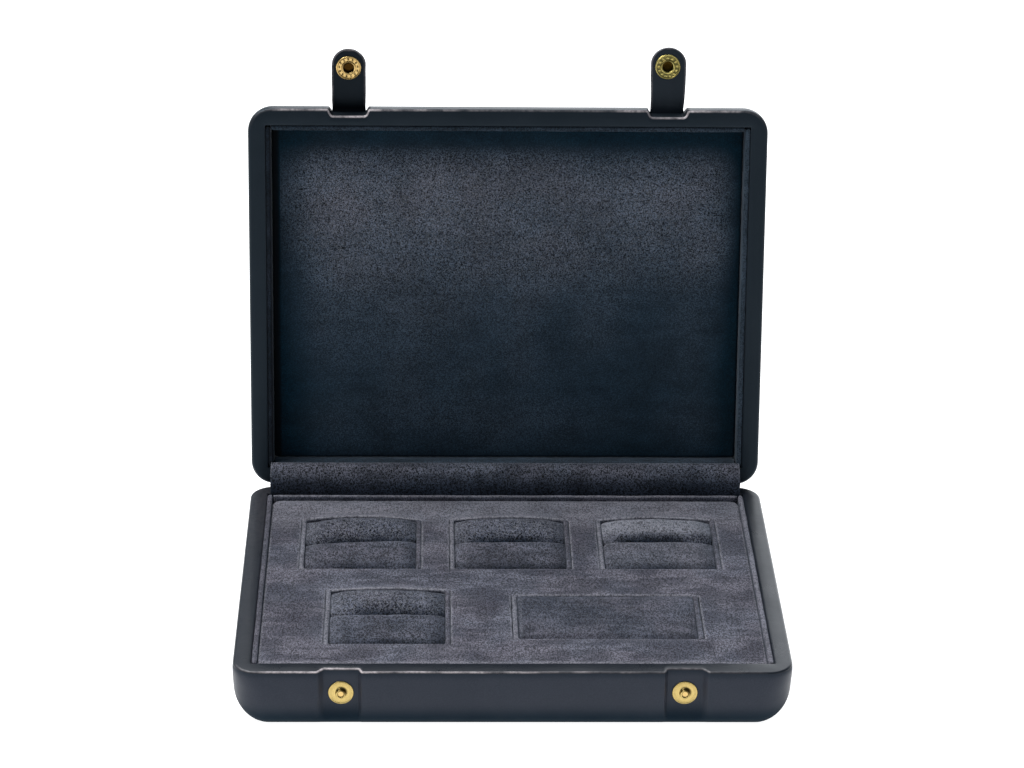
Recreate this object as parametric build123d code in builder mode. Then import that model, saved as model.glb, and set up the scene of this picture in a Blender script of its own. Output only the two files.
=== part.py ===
from build123d import *
import os
from math import sin, cos, radians

# Jewelry case: leather covered base and lid, suede ring insert, two snap straps.
# Millimetres. Origin: centre of the base's resting face. +X right, +Y to the
# hinge, +Z up. The case stands open, as it is displayed.

# ---------------------------------------------------------------- dimensions
W = 210.0            # outer width
D = 158.0            # outer depth of base and of lid
HB = 26.0            # base height, floor to rim
HL = 14.5            # lid height, rim to outer face
RC = 10.5            # vertical corners
RBB = 10.3           # rounding round the bottom of the base
RBL = 9.5            # rounding round the outer face of the lid
RIM = 7.0            # leather rim width
SKIN = 1.0           # leather thickness
LIP = 0.8            # leather turned in behind the rim
LIP_H = 6.0          # how far it is turned in
EDGE = 1.0           # rounding of the rim's outer edge
EDGE_IN = 0.4        # rounding of the rim's inner edge
GAP = 0.3            # rim to rim when shut

OPEN = 98.72         # opening angle at the stop
YA = 79.68           # hinge axis, the bending line of the leather spine
ZA = HB - 0.55

XI = W / 2 - RIM     # half opening in X
YI = D / 2 - RIM     # half opening in Y
LINER = 2.1          # suede wrapped liner board thickness
FLOOR = 4.0          # inside floor of the base tray
TOPW = 11.0          # inside face of the lid board, from the rim

INS_TOP = HB - 1.5   # suede surface of the insert
COVER_T = 1.5
BOARD_T = 2.5

CELL_W, CELL_D = 44.4, 42.0      # inside a ring cell
CELL_WALL = 2.0
CELL_Z0 = 9.0
CELLS = {"a": (-58.9, 29.2), "b": (0.9, 29.2), "c": (60.5, 29.2), "d": (-47.5, -32.5)}
PAD_X, PAD_Y = 37.0, -32.6
PAD_W, PAD_D = 68.4, 33.4
PAD_WALL_X, PAD_WALL_Y = 2.3, 2.0

SNAP_X = 64.4        # straps and studs, left and right
STRAP_W = 13.4
STRAP_T = 1.8
STRAP_L = 18.3       # bend line to snap centre
BEND_U = 2.0         # bend line, inside the front wall plane
BEND_W = 7.9         # bend line, from the lid's rim plane
STRAP_END = 1.0      # centre of the round end past the snap
LEAN = {"left": 12.0, "right": 0.0}   # forward lean of each strap as it stands
NOTCH_TOP, NOTCH_FLOOR, NOTCH_D = 8.0, 6.9, 2.8
STUD_Z = HB - (STRAP_L - BEND_W - GAP)

os.makedirs("parts", exist_ok=True)


def lid_plane(x=0.0, y=0.0, w=0.0, lean=0.0):
    """Plane given in the shut lid (x, y, w from its rim), carried to the open lid."""
    a = radians(OPEN)
    dy, dz = y - YA, w + HB + GAP - ZA
    o = (x, YA + dy * cos(a) + dz * sin(a), ZA - dy * sin(a) + dz * cos(a))
    b = radians(OPEN - lean)
    return Plane(origin=o, x_dir=(1, 0, 0), z_dir=(0, sin(b), cos(b)))


LID = lid_plane()
W_AXIS = Axis(LID.origin, LID.z_dir)          # from the lid's rim to its outer face
S_AXIS = Axis(LID.origin, LID.y_dir)          # from the lid's front to its hinge side


def notch(grow=0.0):
    """Plan outline of a strap channel, cut into a wall that lies along y = 0."""
    with BuildSketch() as sk:
        with BuildLine():
            Polyline(
                (-NOTCH_TOP - grow - 1.6, -3), (-NOTCH_TOP - grow - 1.6, 0),
                (-NOTCH_TOP - grow, 0), (-NOTCH_FLOOR - grow, NOTCH_D),
                (NOTCH_FLOOR + grow, NOTCH_D), (NOTCH_TOP + grow, 0),
                (NOTCH_TOP + grow + 1.6, 0), (NOTCH_TOP + grow + 1.6, -3),
                close=True,
            )
        make_face()
        fillet([v for v in sk.vertices() if abs(v.Y - NOTCH_D) < 0.01], 1.8)
        fillet([v for v in sk.vertices() if abs(v.Y) < 0.01 and abs(v.X) < NOTCH_TOP + grow + 0.5], 0.8)
    return sk.sketch


NOTCH_SKIN = notch()
NOTCH_CORE = notch(0.9)

# ---------------------------------------------------------------- base
with BuildPart() as base_core:
    with BuildSketch(Plane.XY.offset(1.3)):
        RectangleRounded(W - 2 * SKIN, D - 2 * SKIN, RC - SKIN)
    extrude(amount=HB - SKIN - 1.3)
    fillet(base_core.faces().sort_by(Axis.Z)[0].edges(), RBB - SKIN)
    with BuildSketch(Plane.XY.offset(FLOOR)):
        RectangleRounded(2 * (XI + LIP), 2 * (YI + LIP), 2.8)
    extrude(amount=HB, mode=Mode.SUBTRACT)
    with BuildSketch(Plane.XY.offset(0.0)):
        with Locations((-SNAP_X, -D / 2 + SKIN), (SNAP_X, -D / 2 + SKIN)):
            add(NOTCH_CORE)
    extrude(amount=HB + 1, mode=Mode.SUBTRACT)
    with BuildSketch(Plane.XZ.offset(D / 2 + 1)):
        with Locations((-SNAP_X, STUD_Z), (SNAP_X, STUD_Z)):
            Circle(1.2)
    extrude(amount=-10, mode=Mode.SUBTRACT)
base_core.part.label = "base_core"
export_step(base_core.part, "parts/base_core.step")

with BuildPart() as base_leather:
    with BuildSketch(Plane.XY.offset(0.3)):
        RectangleRounded(W, D, RC)
    extrude(amount=HB - 0.3)
    fillet(base_leather.faces().sort_by(Axis.Z)[0].edges(), RBB)
    with BuildSketch(Plane.XY.offset(0.0)):
        with Locations((-SNAP_X, -D / 2), (SNAP_X, -D / 2)):
            add(NOTCH_SKIN)
    extrude(amount=HB + 1, mode=Mode.SUBTRACT)
    fillet(base_leather.faces().sort_by(Axis.Z)[-1].edges(), 0.9)
    add(base_core.part, mode=Mode.SUBTRACT)
    with BuildSketch(Plane.XY.offset(FLOOR - 0.5)):
        RectangleRounded(2 * (XI + LIP), 2 * (YI + LIP), 2.8)
    extrude(amount=HB - LIP_H - FLOOR + 0.5, mode=Mode.SUBTRACT)
    with BuildSketch(Plane.XY.offset(HB - LIP_H - 0.5)):
        RectangleRounded(2 * XI, 2 * YI, 0.6)
    extrude(amount=LIP_H + 2, mode=Mode.SUBTRACT)
    with BuildSketch(Plane.XY.offset(-0.1)):
        RectangleRounded(184.4, 132.4, 3.2)
    extrude(amount=1.4, mode=Mode.SUBTRACT)
    with BuildSketch(Plane.XZ.offset(D / 2 + 1)):
        with Locations((-SNAP_X, STUD_Z), (SNAP_X, STUD_Z)):
            Circle(1.2)
    extrude(amount=-10, mode=Mode.SUBTRACT)
base_leather.part.label = "base_leather"
export_step(base_leather.part, "parts/base_leather.step")

with BuildPart() as bottom_cover:
    with BuildSketch(Plane.XY):
        RectangleRounded(184, 132, 3)
    extrude(amount=1.25)
    fillet(bottom_cover.faces().sort_by(Axis.Z)[0].edges(), 0.5)
bottom_cover.part.label = "bottom_cover"
export_step(bottom_cover.part, "parts/bottom_cover.step")

# suede wrapped liner boards along the four walls of the base
for side in ("left", "right"):
    sx = -1 if side == "left" else 1
    with BuildPart() as base_liner_side:
        with BuildSketch(Plane.XY.offset(FLOOR)):
            with Locations((sx * (XI - LINER / 2 - 0.05), -0.35)):
                Rectangle(LINER, 2 * YI - 1.6)
        extrude(amount=HB - 0.1 - FLOOR)
        fillet(base_liner_side.faces().sort_by(Axis.Z)[-1].edges().filter_by(Axis.Y), 0.6)
    base_liner_side.part.label = "base_liner_" + side
    export_step(base_liner_side.part, "parts/base_liner_" + side + ".step")

with BuildPart() as base_liner_back:
    with BuildSketch(Plane.XY.offset(FLOOR)):
        with Locations((0, 70.15)):
            Rectangle(2 * (XI - LINER) - 0.4, 2.0)
    extrude(amount=HB - 0.1 - FLOOR)
    fillet(base_liner_back.faces().sort_by(Axis.Z)[-1].edges().filter_by(Axis.X), 0.6)
base_liner_back.part.label = "base_liner_back"
export_step(base_liner_back.part, "parts/base_liner_back.step")

with BuildPart() as base_liner_front:
    with BuildSketch(Plane.XY.offset(FLOOR)):
        with Locations((0, -YI + 1.1)):
            Rectangle(2 * (XI - LINER) - 0.4, 2.0)
    extrude(amount=INS_TOP - FLOOR)
    fillet(base_liner_front.faces().sort_by(Axis.Z)[-1].edges().filter_by(Axis.X), 0.6)
base_liner_front.part.label = "base_liner_front"
export_step(base_liner_front.part, "parts/base_liner_front.step")

# ---------------------------------------------------------------- ring insert
IX = XI - LINER - 0.55           # half width of the insert
IY0, IY1 = -YI + 2.4, 68.6       # its front and back edges
CW, CD = CELL_W + 2 * CELL_WALL, CELL_D + 2 * CELL_WALL
PW, PD = PAD_W + 2 * PAD_WALL_X, PAD_D + 2 * PAD_WALL_Y

with BuildSketch() as insert_outline:
    with Locations((0, (IY0 + IY1) / 2)):
        Rectangle(2 * IX, IY1 - IY0)
    fillet([v for v in insert_outline.vertices() if v.Y > 0], 4.5)
    fillet([v for v in insert_outline.vertices() if v.Y < 0], 1.0)

with BuildSketch() as cell_cuts:
    with Locations(*CELLS.values()):
        Rectangle(CW + 0.2, CD + 0.2)
    with Locations((PAD_X, PAD_Y)):
        Rectangle(PW + 0.2, PD + 0.2)

with BuildPart() as insert_block:
    with BuildSketch(Plane.XY.offset(FLOOR)):
        add(insert_outline.sketch)
    extrude(amount=INS_TOP - COVER_T - BOARD_T - FLOOR)
    with BuildSketch(Plane.XY.offset(CELL_Z0 - 0.1)):
        with Locations(*CELLS.values()):
            Rectangle(CW + 0.2, CD + 0.2)
    extrude(amount=HB, mode=Mode.SUBTRACT)
    with BuildSketch(Plane.XY.offset(17.9)):
        with Locations((PAD_X, PAD_Y)):
            Rectangle(PW + 0.2, PD + 0.2)
    extrude(amount=HB, mode=Mode.SUBTRACT)
insert_block.part.label = "insert_block"
export_step(insert_block.part, "parts/insert_block.step")

with BuildPart() as insert_board:
    with BuildSketch(Plane.XY.offset(INS_TOP - COVER_T - BOARD_T)):
        add(insert_outline.sketch)
        add(cell_cuts.sketch, mode=Mode.SUBTRACT)
    extrude(amount=BOARD_T)
insert_board.part.label = "insert_board"
export_step(insert_board.part, "parts/insert_board.step")

with BuildPart() as insert_cover:
    with BuildSketch(Plane.XY.offset(INS_TOP - COVER_T)):
        add(insert_outline.sketch)
        add(cell_cuts.sketch, mode=Mode.SUBTRACT)
    extrude(amount=COVER_T)
    fillet(insert_cover.faces().sort_by(Axis.Z)[-1].edges(), 0.5)
insert_cover.part.label = "insert_cover"
export_step(insert_cover.part, "parts/insert_cover.step")

# suede wrapped sleeve, rear roll and front roll of each ring cell
for key, (cx, cy) in CELLS.items():
    with BuildPart() as cell_frame:
        with BuildSketch(Plane.XY.offset(CELL_Z0)):
            with Locations((cx, cy)):
                Rectangle(CW, CD)
                Rectangle(CELL_W, CELL_D, mode=Mode.SUBTRACT)
        extrude(amount=INS_TOP + 0.1 - CELL_Z0)
        fillet(cell_frame.faces().sort_by(Axis.Z)[-1].edges(), 0.6)
    cell_frame.part.label = "cell_frame_" + key
    export_step(cell_frame.part, "parts/cell_frame_" + key + ".step")

    for row, sy, top in (("rear", 1, 1.4), ("front", -1, 0.5)):
        rd = CELL_D / 2 - 0.5 + (-1.6 if row == "rear" else 1.6)   # slit lies behind the middle
        ry = cy + sy * (CELL_D / 2 - 0.3 - rd / 2)
        with BuildPart() as ring_roll:
            with BuildSketch(Plane.YZ.offset(cx - CELL_W / 2 + 0.3)):
                with Locations((ry, (CELL_Z0 + INS_TOP + top) / 2)):
                    RectangleRounded(rd, INS_TOP + top - CELL_Z0, 5.5)
            extrude(amount=CELL_W - 0.6)
        ring_roll.part.label = "ring_roll_" + row + "_" + key
        export_step(ring_roll.part, "parts/ring_roll_" + row + "_" + key + ".step")

with BuildPart() as pad_frame:
    with BuildSketch(Plane.XY.offset(18.0)):
        with Locations((PAD_X, PAD_Y)):
            Rectangle(PW, PD)
            Rectangle(PAD_W, PAD_D, mode=Mode.SUBTRACT)
    extrude(amount=INS_TOP + 0.1 - 18.0)
    fillet(pad_frame.faces().sort_by(Axis.Z)[-1].edges(), 0.6)
pad_frame.part.label = "pad_frame"
export_step(pad_frame.part, "parts/pad_frame.step")

with BuildPart() as blank_pad:
    with BuildSketch(Plane.XY.offset(18.0)):
        with Locations((PAD_X, PAD_Y)):
            RectangleRounded(PAD_W - 0.6, PAD_D - 0.6, 0.8)
    extrude(amount=INS_TOP - 0.3 - 18.0)
    fillet(blank_pad.faces().sort_by(Axis.Z)[-1].edges(), 0.9)
blank_pad.part.label = "blank_pad"
export_step(blank_pad.part, "parts/blank_pad.step")

# ---------------------------------------------------------------- snap studs on the base
for side in ("left", "right"):
    sx = -SNAP_X if side == "left" else SNAP_X
    face = D / 2 - NOTCH_D                       # leather surface in the channel
    with BuildPart() as snap_stud:
        with BuildSketch(Plane.XZ.offset(face)):
            with Locations((sx, STUD_Z)):
                Circle(4.95)
        extrude(amount=0.35)
        fillet(snap_stud.faces().sort_by(Axis.Y)[0].edges(), 0.2)
        with BuildSketch(Plane.XZ.offset(face)):
            with Locations((sx, STUD_Z)):
                Circle(1.9)
        extrude(amount=1.9)
        fillet(snap_stud.faces().sort_by(Axis.Y)[0].edges(), 0.4)
        with BuildSketch(Plane.XZ.offset(face - 1)):
            with Locations((sx, STUD_Z)):
                Circle(1.15)
        extrude(amount=4, mode=Mode.SUBTRACT)
    snap_stud.part.label = "snap_stud_" + side
    export_step(snap_stud.part, "parts/snap_stud_" + side + ".step")

    with BuildPart() as stud_rivet:
        with BuildSketch(Plane.XZ.offset(YI + 0.15)):
            with Locations((sx, STUD_Z)):
                Circle(3.5)
        extrude(amount=0.6)
        with BuildSketch(Plane.XZ.offset(YI + 0.5)):
            with Locations((sx, STUD_Z)):
                Circle(1.05)
        extrude(amount=face + 1.4 - YI - 0.5)
    stud_rivet.part.label = "stud_rivet_" + side
    export_step(stud_rivet.part, "parts/stud_rivet_" + side + ".step")

# ---------------------------------------------------------------- lid, drawn on the open lid's plane
with BuildPart() as lid_core:
    with BuildSketch(lid_plane(w=SKIN)):
        RectangleRounded(W - 2 * SKIN, D - 2 * SKIN, RC - SKIN)
    extrude(amount=HL - 2 * SKIN)
    fillet(lid_core.faces().sort_by(W_AXIS)[-1].edges(), RBL - SKIN)
    with BuildSketch(lid_plane(w=-1)):
        RectangleRounded(2 * (XI + LIP), 2 * (YI + LIP), 2.8)
    extrude(amount=TOPW + 1, mode=Mode.SUBTRACT)
    with BuildSketch(lid_plane(w=0)):
        with Locations((-SNAP_X, -D / 2 + SKIN), (SNAP_X, -D / 2 + SKIN)):
            add(NOTCH_CORE)
    extrude(amount=11.4, mode=Mode.SUBTRACT)
    with BuildSketch(lid_plane(w=BEND_W + 0.1)):
        with Locations((-SNAP_X, -D / 2 + 4), (SNAP_X, -D / 2 + 4)):
            Rectangle(STRAP_W + 0.2, 9)
    extrude(amount=STRAP_T + 0.2, mode=Mode.SUBTRACT)
lid_core.part.label = "lid_core"
export_step(lid_core.part, "parts/lid_core.step")

with BuildPart() as lid_leather:
    with BuildSketch(LID):
        RectangleRounded(W, D, RC)
    extrude(amount=HL)
    fillet(lid_leather.faces().sort_by(W_AXIS)[-1].edges(), RBL)
    with BuildSketch(lid_plane(w=-1)):
        with Locations((-SNAP_X, -D / 2), (SNAP_X, -D / 2)):
            add(NOTCH_SKIN)
    extrude(amount=13.2, mode=Mode.SUBTRACT)
    fillet(lid_leather.faces().sort_by(W_AXIS)[0].edges(), 0.9)
    add(lid_core.part, mode=Mode.SUBTRACT)
    with BuildSketch(lid_plane(w=LIP_H)):
        RectangleRounded(2 * (XI + LIP), 2 * (YI + LIP), 2.8)
    extrude(amount=TOPW - LIP_H, mode=Mode.SUBTRACT)
    with BuildSketch(lid_plane(w=-1)):
        RectangleRounded(2 * XI, 2 * YI, 0.6)
    extrude(amount=LIP_H + 1.5, mode=Mode.SUBTRACT)
    with BuildSketch(lid_plane(w=BEND_W + 0.1)):
        with Locations((-SNAP_X, -D / 2 + 4), (SNAP_X, -D / 2 + 4)):
            Rectangle(STRAP_W + 0.2, 9)
    extrude(amount=STRAP_T + 0.2, mode=Mode.SUBTRACT)
lid_leather.part.label = "lid_leather"
export_step(lid_leather.part, "parts/lid_leather.step")

for side in ("left", "right"):
    sx = -1 if side == "left" else 1
    with BuildPart() as lid_liner_side:
        with BuildSketch(lid_plane(w=0.3)):
            with Locations((sx * (XI - LINER / 2 - 0.05), 0)):
                Rectangle(LINER, 2 * YI - 1.0)
        extrude(amount=9.3)
    lid_liner_side.part.label = "lid_liner_" + side
    export_step(lid_liner_side.part, "parts/lid_liner_" + side + ".step")

for end, sy in (("front", -1), ("hinge", 1)):
    with BuildPart() as lid_liner_end:
        with BuildSketch(lid_plane(w=0.3 if end == "front" else 1.3)):
            with Locations((0, sy * (YI - LINER / 2 - 0.05))):
                Rectangle(2 * (XI - LINER) - 0.4, LINER)
        extrude(amount=9.3 if end == "front" else 8.3)
    lid_liner_end.part.label = "lid_liner_" + end
    export_step(lid_liner_end.part, "parts/lid_liner_" + end + ".step")

with BuildPart() as lid_panel_board:
    with BuildSketch(lid_plane(w=9.7)):
        Rectangle(2 * (XI - 0.4), 2 * (YI - 0.4))
    extrude(amount=1.3)
lid_panel_board.part.label = "lid_panel_board"
export_step(lid_panel_board.part, "parts/lid_panel_board.step")

with BuildPart() as lid_panel:
    with BuildSketch(lid_plane(w=8.7)):
        RectangleRounded(2 * (XI - LINER) - 0.9, 2 * (YI - LINER) - 0.9, 1.5)
    extrude(amount=1.0)
    fillet(lid_panel.faces().sort_by(W_AXIS)[0].edges(), 0.6)
lid_panel.part.label = "lid_panel"
export_step(lid_panel.part, "parts/lid_panel.step")

# ---------------------------------------------------------------- snap straps
for side in ("left", "right"):
    sx = -SNAP_X if side == "left" else SNAP_X
    u0 = -D / 2 + BEND_U

    # the strap's root, through the lid's front wall and glued down behind it
    with BuildPart() as strap_root:
        with BuildSketch(lid_plane(x=sx, w=BEND_W + 0.2)):
            with Locations((0, (-D / 2 + 2.75 - YI - 0.1) / 2)):
                Rectangle(STRAP_W, D / 2 - 2.75 - YI - 0.1)
        extrude(amount=STRAP_T)
        with BuildSketch(lid_plane(x=sx, w=6.2)):
            with Locations((0, -YI - 0.45)):
                Rectangle(STRAP_W, 0.6)
        extrude(amount=4.3)
    strap_root.part.label = "strap_root_" + side
    export_step(strap_root.part, "parts/strap_root_" + side + ".step")

    ST = lid_plane(x=sx, y=u0, w=BEND_W, lean=LEAN[side])
    ST_AXIS = Axis(ST.origin, ST.z_dir)
    with BuildPart() as strap_tab:
        with BuildSketch(ST.offset(0.2)):
            with Locations((0, -(STRAP_L + STRAP_END) / 2)):
                Rectangle(STRAP_W, STRAP_L + STRAP_END)
            with Locations((0, -STRAP_L - STRAP_END)):
                Circle(STRAP_W / 2)
        extrude(amount=STRAP_T)
        fillet(strap_tab.faces().sort_by(ST_AXIS)[-1].edges(), 0.4)
        fillet(strap_tab.faces().sort_by(ST_AXIS)[0].edges(), 0.4)
        with BuildSketch(ST):
            with Locations((0, -STRAP_L)):
                Circle(3.1)
        extrude(amount=5, mode=Mode.SUBTRACT)
    strap_tab.part.label = "strap_tab_" + side
    export_step(strap_tab.part, "parts/strap_tab_" + side + ".step")

    with BuildPart() as snap_socket:
        with BuildSketch(ST.offset(-0.15)):
            with Locations((0, -STRAP_L)):
                Circle(5.1)
        extrude(amount=0.35)
        fillet(snap_socket.faces().sort_by(ST_AXIS)[0].edges(), 0.15)
        with BuildSketch(ST.offset(0.1)):
            with Locations((0, -STRAP_L)):
                Circle(3.0)
        extrude(amount=1.9)
        with BuildSketch(ST.offset(-1)):
            with Locations((0, -STRAP_L)):
                Circle(2.25)
        extrude(amount=4, mode=Mode.SUBTRACT)
        with BuildSketch(ST.offset(0.5)):
            with Locations((0, -STRAP_L)):
                Circle(2.5)
        extrude(amount=0.8, mode=Mode.SUBTRACT)
    snap_socket.part.label = "snap_socket_" + side
    export_step(snap_socket.part, "parts/snap_socket_" + side + ".step")

    with BuildPart() as snap_spring:
        with BuildSketch(ST.offset(0.75)):
            with Locations((0, -STRAP_L)):
                Circle(2.45)
                Circle(2.05, mode=Mode.SUBTRACT)
                with Locations((0, -2.2)):
                    Rectangle(0.6, 1.0, mode=Mode.SUBTRACT)
        extrude(amount=0.35)
    snap_spring.part.label = "snap_spring_" + side
    export_step(snap_spring.part, "parts/snap_spring_" + side + ".step")

    with BuildPart() as snap_cap:
        with BuildSketch(ST.offset(STRAP_T + 0.2)):
            with Locations((0, -STRAP_L)):
                Circle(5.3)
        extrude(amount=0.85)
        fillet(snap_cap.faces().sort_by(ST_AXIS)[-1].edges(), 0.6)
        with BuildSketch(ST.offset(1.5)):
            with Locations((0, -STRAP_L)):
                Circle(2.2)
        extrude(amount=0.6)
    snap_cap.part.label = "snap_cap_" + side
    export_step(snap_cap.part, "parts/snap_cap_" + side + ".step")

# ---------------------------------------------------------------- spine and gusset of the hinge
SPINE_T = 0.7
lp = lid_plane(y=D / 2 + 0.05, w=9.0)          # on the lid's hinge side, outside
lq = lid_plane(y=D / 2 + 0.05, w=1.2)
lo = lid_plane(y=D / 2 + 0.05 + SPINE_T, w=9.0)
lr = lid_plane(y=D / 2 + 0.05 + SPINE_T, w=1.2)
with BuildPart() as hinge_spine:
    with BuildSketch(Plane.YZ.offset(-94.0)):
        with BuildLine():
            Polyline(
                (D / 2 + 0.05, 12.0), (D / 2 + 0.05, 24.9),
                (lq.origin.Y - 1.2, lq.origin.Z - 0.02), (lq.origin.Y, lq.origin.Z), (lp.origin.Y, lp.origin.Z),
                (lo.origin.Y, lo.origin.Z), (lr.origin.Y, lr.origin.Z),
                (D / 2 + 0.05 + SPINE_T, 24.6), (D / 2 + 0.05 + SPINE_T, 12.0),
                close=True,
            )
        make_face()
    extrude(amount=188.0)
hinge_spine.part.label = "hinge_spine"
export_step(hinge_spine.part, "parts/hinge_spine.step")

GUSSET_T = 0.6
ga = lid_plane(y=69.8, w=-0.05)                 # its edge on the lid, past the liner
gb = lid_plane(y=69.8, w=-0.05 - GUSSET_T)
gc = lid_plane(y=77.0, w=-0.05)
with BuildPart() as hinge_gusset:
    with BuildSketch(Plane.YZ.offset(-96.9)):
        with BuildLine():
            a1 = (71.95, HB + 0.4)
            a2 = (71.95 - GUSSET_T, HB + 0.4)
            p1 = (ga.origin.Y, ga.origin.Z)
            p2 = (gb.origin.Y, gb.origin.Z)
            ThreePointArc(a2, (74.15, 32.95), p2)
            Line(p2, p1)
            ThreePointArc(p1, (74.65, 32.5), a1)
            Line(a1, (71.95, 20.0))
            Line((71.95, 20.0), (71.95 - GUSSET_T, 20.0))
            Line((71.95 - GUSSET_T, 20.0), a2)
        make_face()
    extrude(amount=193.8)
hinge_gusset.part.label = "hinge_gusset"
export_step(hinge_gusset.part, "parts/hinge_gusset.step")

print("stud height", STUD_Z, "lid origin", LID.origin, "w axis", LID.z_dir)
for s in ("left", "right"):
    p = lid_plane(x=(-SNAP_X if s == "left" else SNAP_X), y=-D / 2 + BEND_U, w=BEND_W)
    print("strap bend axis", s, p.origin)
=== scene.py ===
import math

import bmesh
import bpy
import numpy as np
from mathutils import Matrix, Vector, noise


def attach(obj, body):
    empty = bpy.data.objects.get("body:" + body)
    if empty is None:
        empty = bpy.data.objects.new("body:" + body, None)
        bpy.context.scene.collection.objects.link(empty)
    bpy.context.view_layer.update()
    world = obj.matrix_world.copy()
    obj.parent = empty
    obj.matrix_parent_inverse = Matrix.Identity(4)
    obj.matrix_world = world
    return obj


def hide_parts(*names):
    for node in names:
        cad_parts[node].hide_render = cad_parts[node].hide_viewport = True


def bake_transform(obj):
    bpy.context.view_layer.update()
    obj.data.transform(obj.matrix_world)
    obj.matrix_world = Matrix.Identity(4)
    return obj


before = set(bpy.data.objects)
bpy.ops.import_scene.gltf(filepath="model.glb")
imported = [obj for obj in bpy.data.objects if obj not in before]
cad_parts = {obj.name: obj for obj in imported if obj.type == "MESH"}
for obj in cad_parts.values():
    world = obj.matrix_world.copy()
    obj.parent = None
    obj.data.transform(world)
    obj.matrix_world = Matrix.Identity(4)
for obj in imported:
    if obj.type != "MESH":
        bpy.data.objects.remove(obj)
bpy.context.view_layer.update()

MM = 0.001

# ------------------------------------------------------------------ numbers shared with the part (mm)
HW, HD = 105.0, 79.0            # half width and half depth of base and lid
IW, ID = 98.0, 72.0             # half opening inside the rim
HB, HL = 26.0, 14.5             # base and lid height
OPEN = math.radians(98.72)
YA, ZA = 79.68, 25.45           # hinge axis
CA, SA = math.cos(OPEN), math.sin(OPEN)
SNAP_X = 64.4
STUD_Z = 15.9
INS = 24.5                      # suede surface of the insert
CELLS = {"a": (-58.9, 29.2), "b": (0.9, 29.2), "c": (60.5, 29.2), "d": (-47.5, -32.5)}
PAD = (37.0, -32.6)
LEAN = {"left": math.radians(12.0), "right": 0.0}


# ------------------------------------------------------------------ camera
def add_camera():
    cam = bpy.data.cameras.new("camera")
    cam.sensor_fit = "HORIZONTAL"
    cam.sensor_width = 36.0
    cam.lens = 36.0 * 3400.7974 / 1024.0
    cam.clip_start, cam.clip_end = 0.05, 50.0
    ob = bpy.data.objects.new("camera", cam)
    yaw, pit, rol = 0.0273, 0.4241, 0.0140
    fw = Vector((math.sin(yaw) * math.cos(pit), math.cos(yaw) * math.cos(pit), -math.sin(pit)))
    rt = Vector((math.cos(yaw), -math.sin(yaw), 0.0))
    up = rt.cross(fw)
    r2 = math.cos(rol) * rt + math.sin(rol) * up
    u2 = -math.sin(rol) * rt + math.cos(rol) * up
    m = Matrix((r2, u2, -fw)).transposed().to_4x4()
    m.translation = Vector((-0.0323948, -1.1884858, 0.6449712))
    ob.matrix_world = m
    bpy.context.scene.collection.objects.link(ob)
    bpy.context.scene.camera = ob


add_camera()


# ------------------------------------------------------------------ materials
class Net:
    """A node material that is built up call by call."""

    def __init__(self, name):
        self.m = bpy.data.materials.new(name)
        self.m.use_nodes = True
        self.t = self.m.node_tree
        self.t.nodes.clear()
        self.co = self.scaled(self.node("ShaderNodeTexCoord").outputs["Object"], (1000, 1000, 1000))

    def put(self, socket, v):
        if isinstance(v, bpy.types.NodeSocket):
            self.t.links.new(v, socket)
        elif v is not None:
            if hasattr(socket.default_value, "__len__") and len(socket.default_value) == 4 and len(v) == 3:
                v = (*v, 1.0)
            socket.default_value = v

    def node(self, kind, ins=None, **props):
        n = self.t.nodes.new(kind)
        for k, v in props.items():
            setattr(n, k, v)
        for k, v in (ins or {}).items():
            self.put(n.inputs[k], v)
        return n

    def scaled(self, v, s, turn=(0, 0, 0), move=(0, 0, 0)):
        return self.node("ShaderNodeMapping", {"Vector": v, "Scale": s, "Rotation": turn, "Location": move}).outputs[0]

    def noise(self, scale, detail=2.0, rough=0.5, warp=0.0, co=None):
        n = self.node("ShaderNodeTexNoise", {"Vector": co or self.co, "Scale": scale, "Detail": detail,
                                             "Roughness": rough, "Distortion": warp})
        return n.outputs[0]

    def rng(self, v, a, b, c=0.0, d=1.0, smooth=False):
        return self.node("ShaderNodeMapRange", {0: v, 1: a, 2: b, 3: c, 4: d}, clamp=True,
                         interpolation_type="SMOOTHSTEP" if smooth else "LINEAR").outputs[0]

    def math(self, op, a, b=None, c=None):
        ins = {0: a}
        if b is not None:
            ins[1] = b
        if c is not None:
            ins[2] = c
        return self.node("ShaderNodeMath", ins, operation=op).outputs[0]

    def mix(self, f, a, b, kind="MIX"):
        return self.node("ShaderNodeMix", {0: f, 6: a, 7: b}, data_type="RGBA", blend_type=kind).outputs[2]

    def attr(self, name):
        return self.node("ShaderNodeAttribute", attribute_name=name, attribute_type="GEOMETRY").outputs["Fac"]

    def bump(self, height, dist, strength=1.0, normal=None):
        ins = {"Height": height, "Distance": dist, "Strength": strength}
        if normal is not None:
            ins["Normal"] = normal
        return self.node("ShaderNodeBump", ins).outputs[0]

    def done(self, **ins):
        b = self.node("ShaderNodeBsdfPrincipled", {k.replace("_", " "): v for k, v in ins.items()})
        out = self.node("ShaderNodeOutputMaterial")
        self.t.links.new(b.outputs[0], out.inputs[0])
        return self.m


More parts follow.
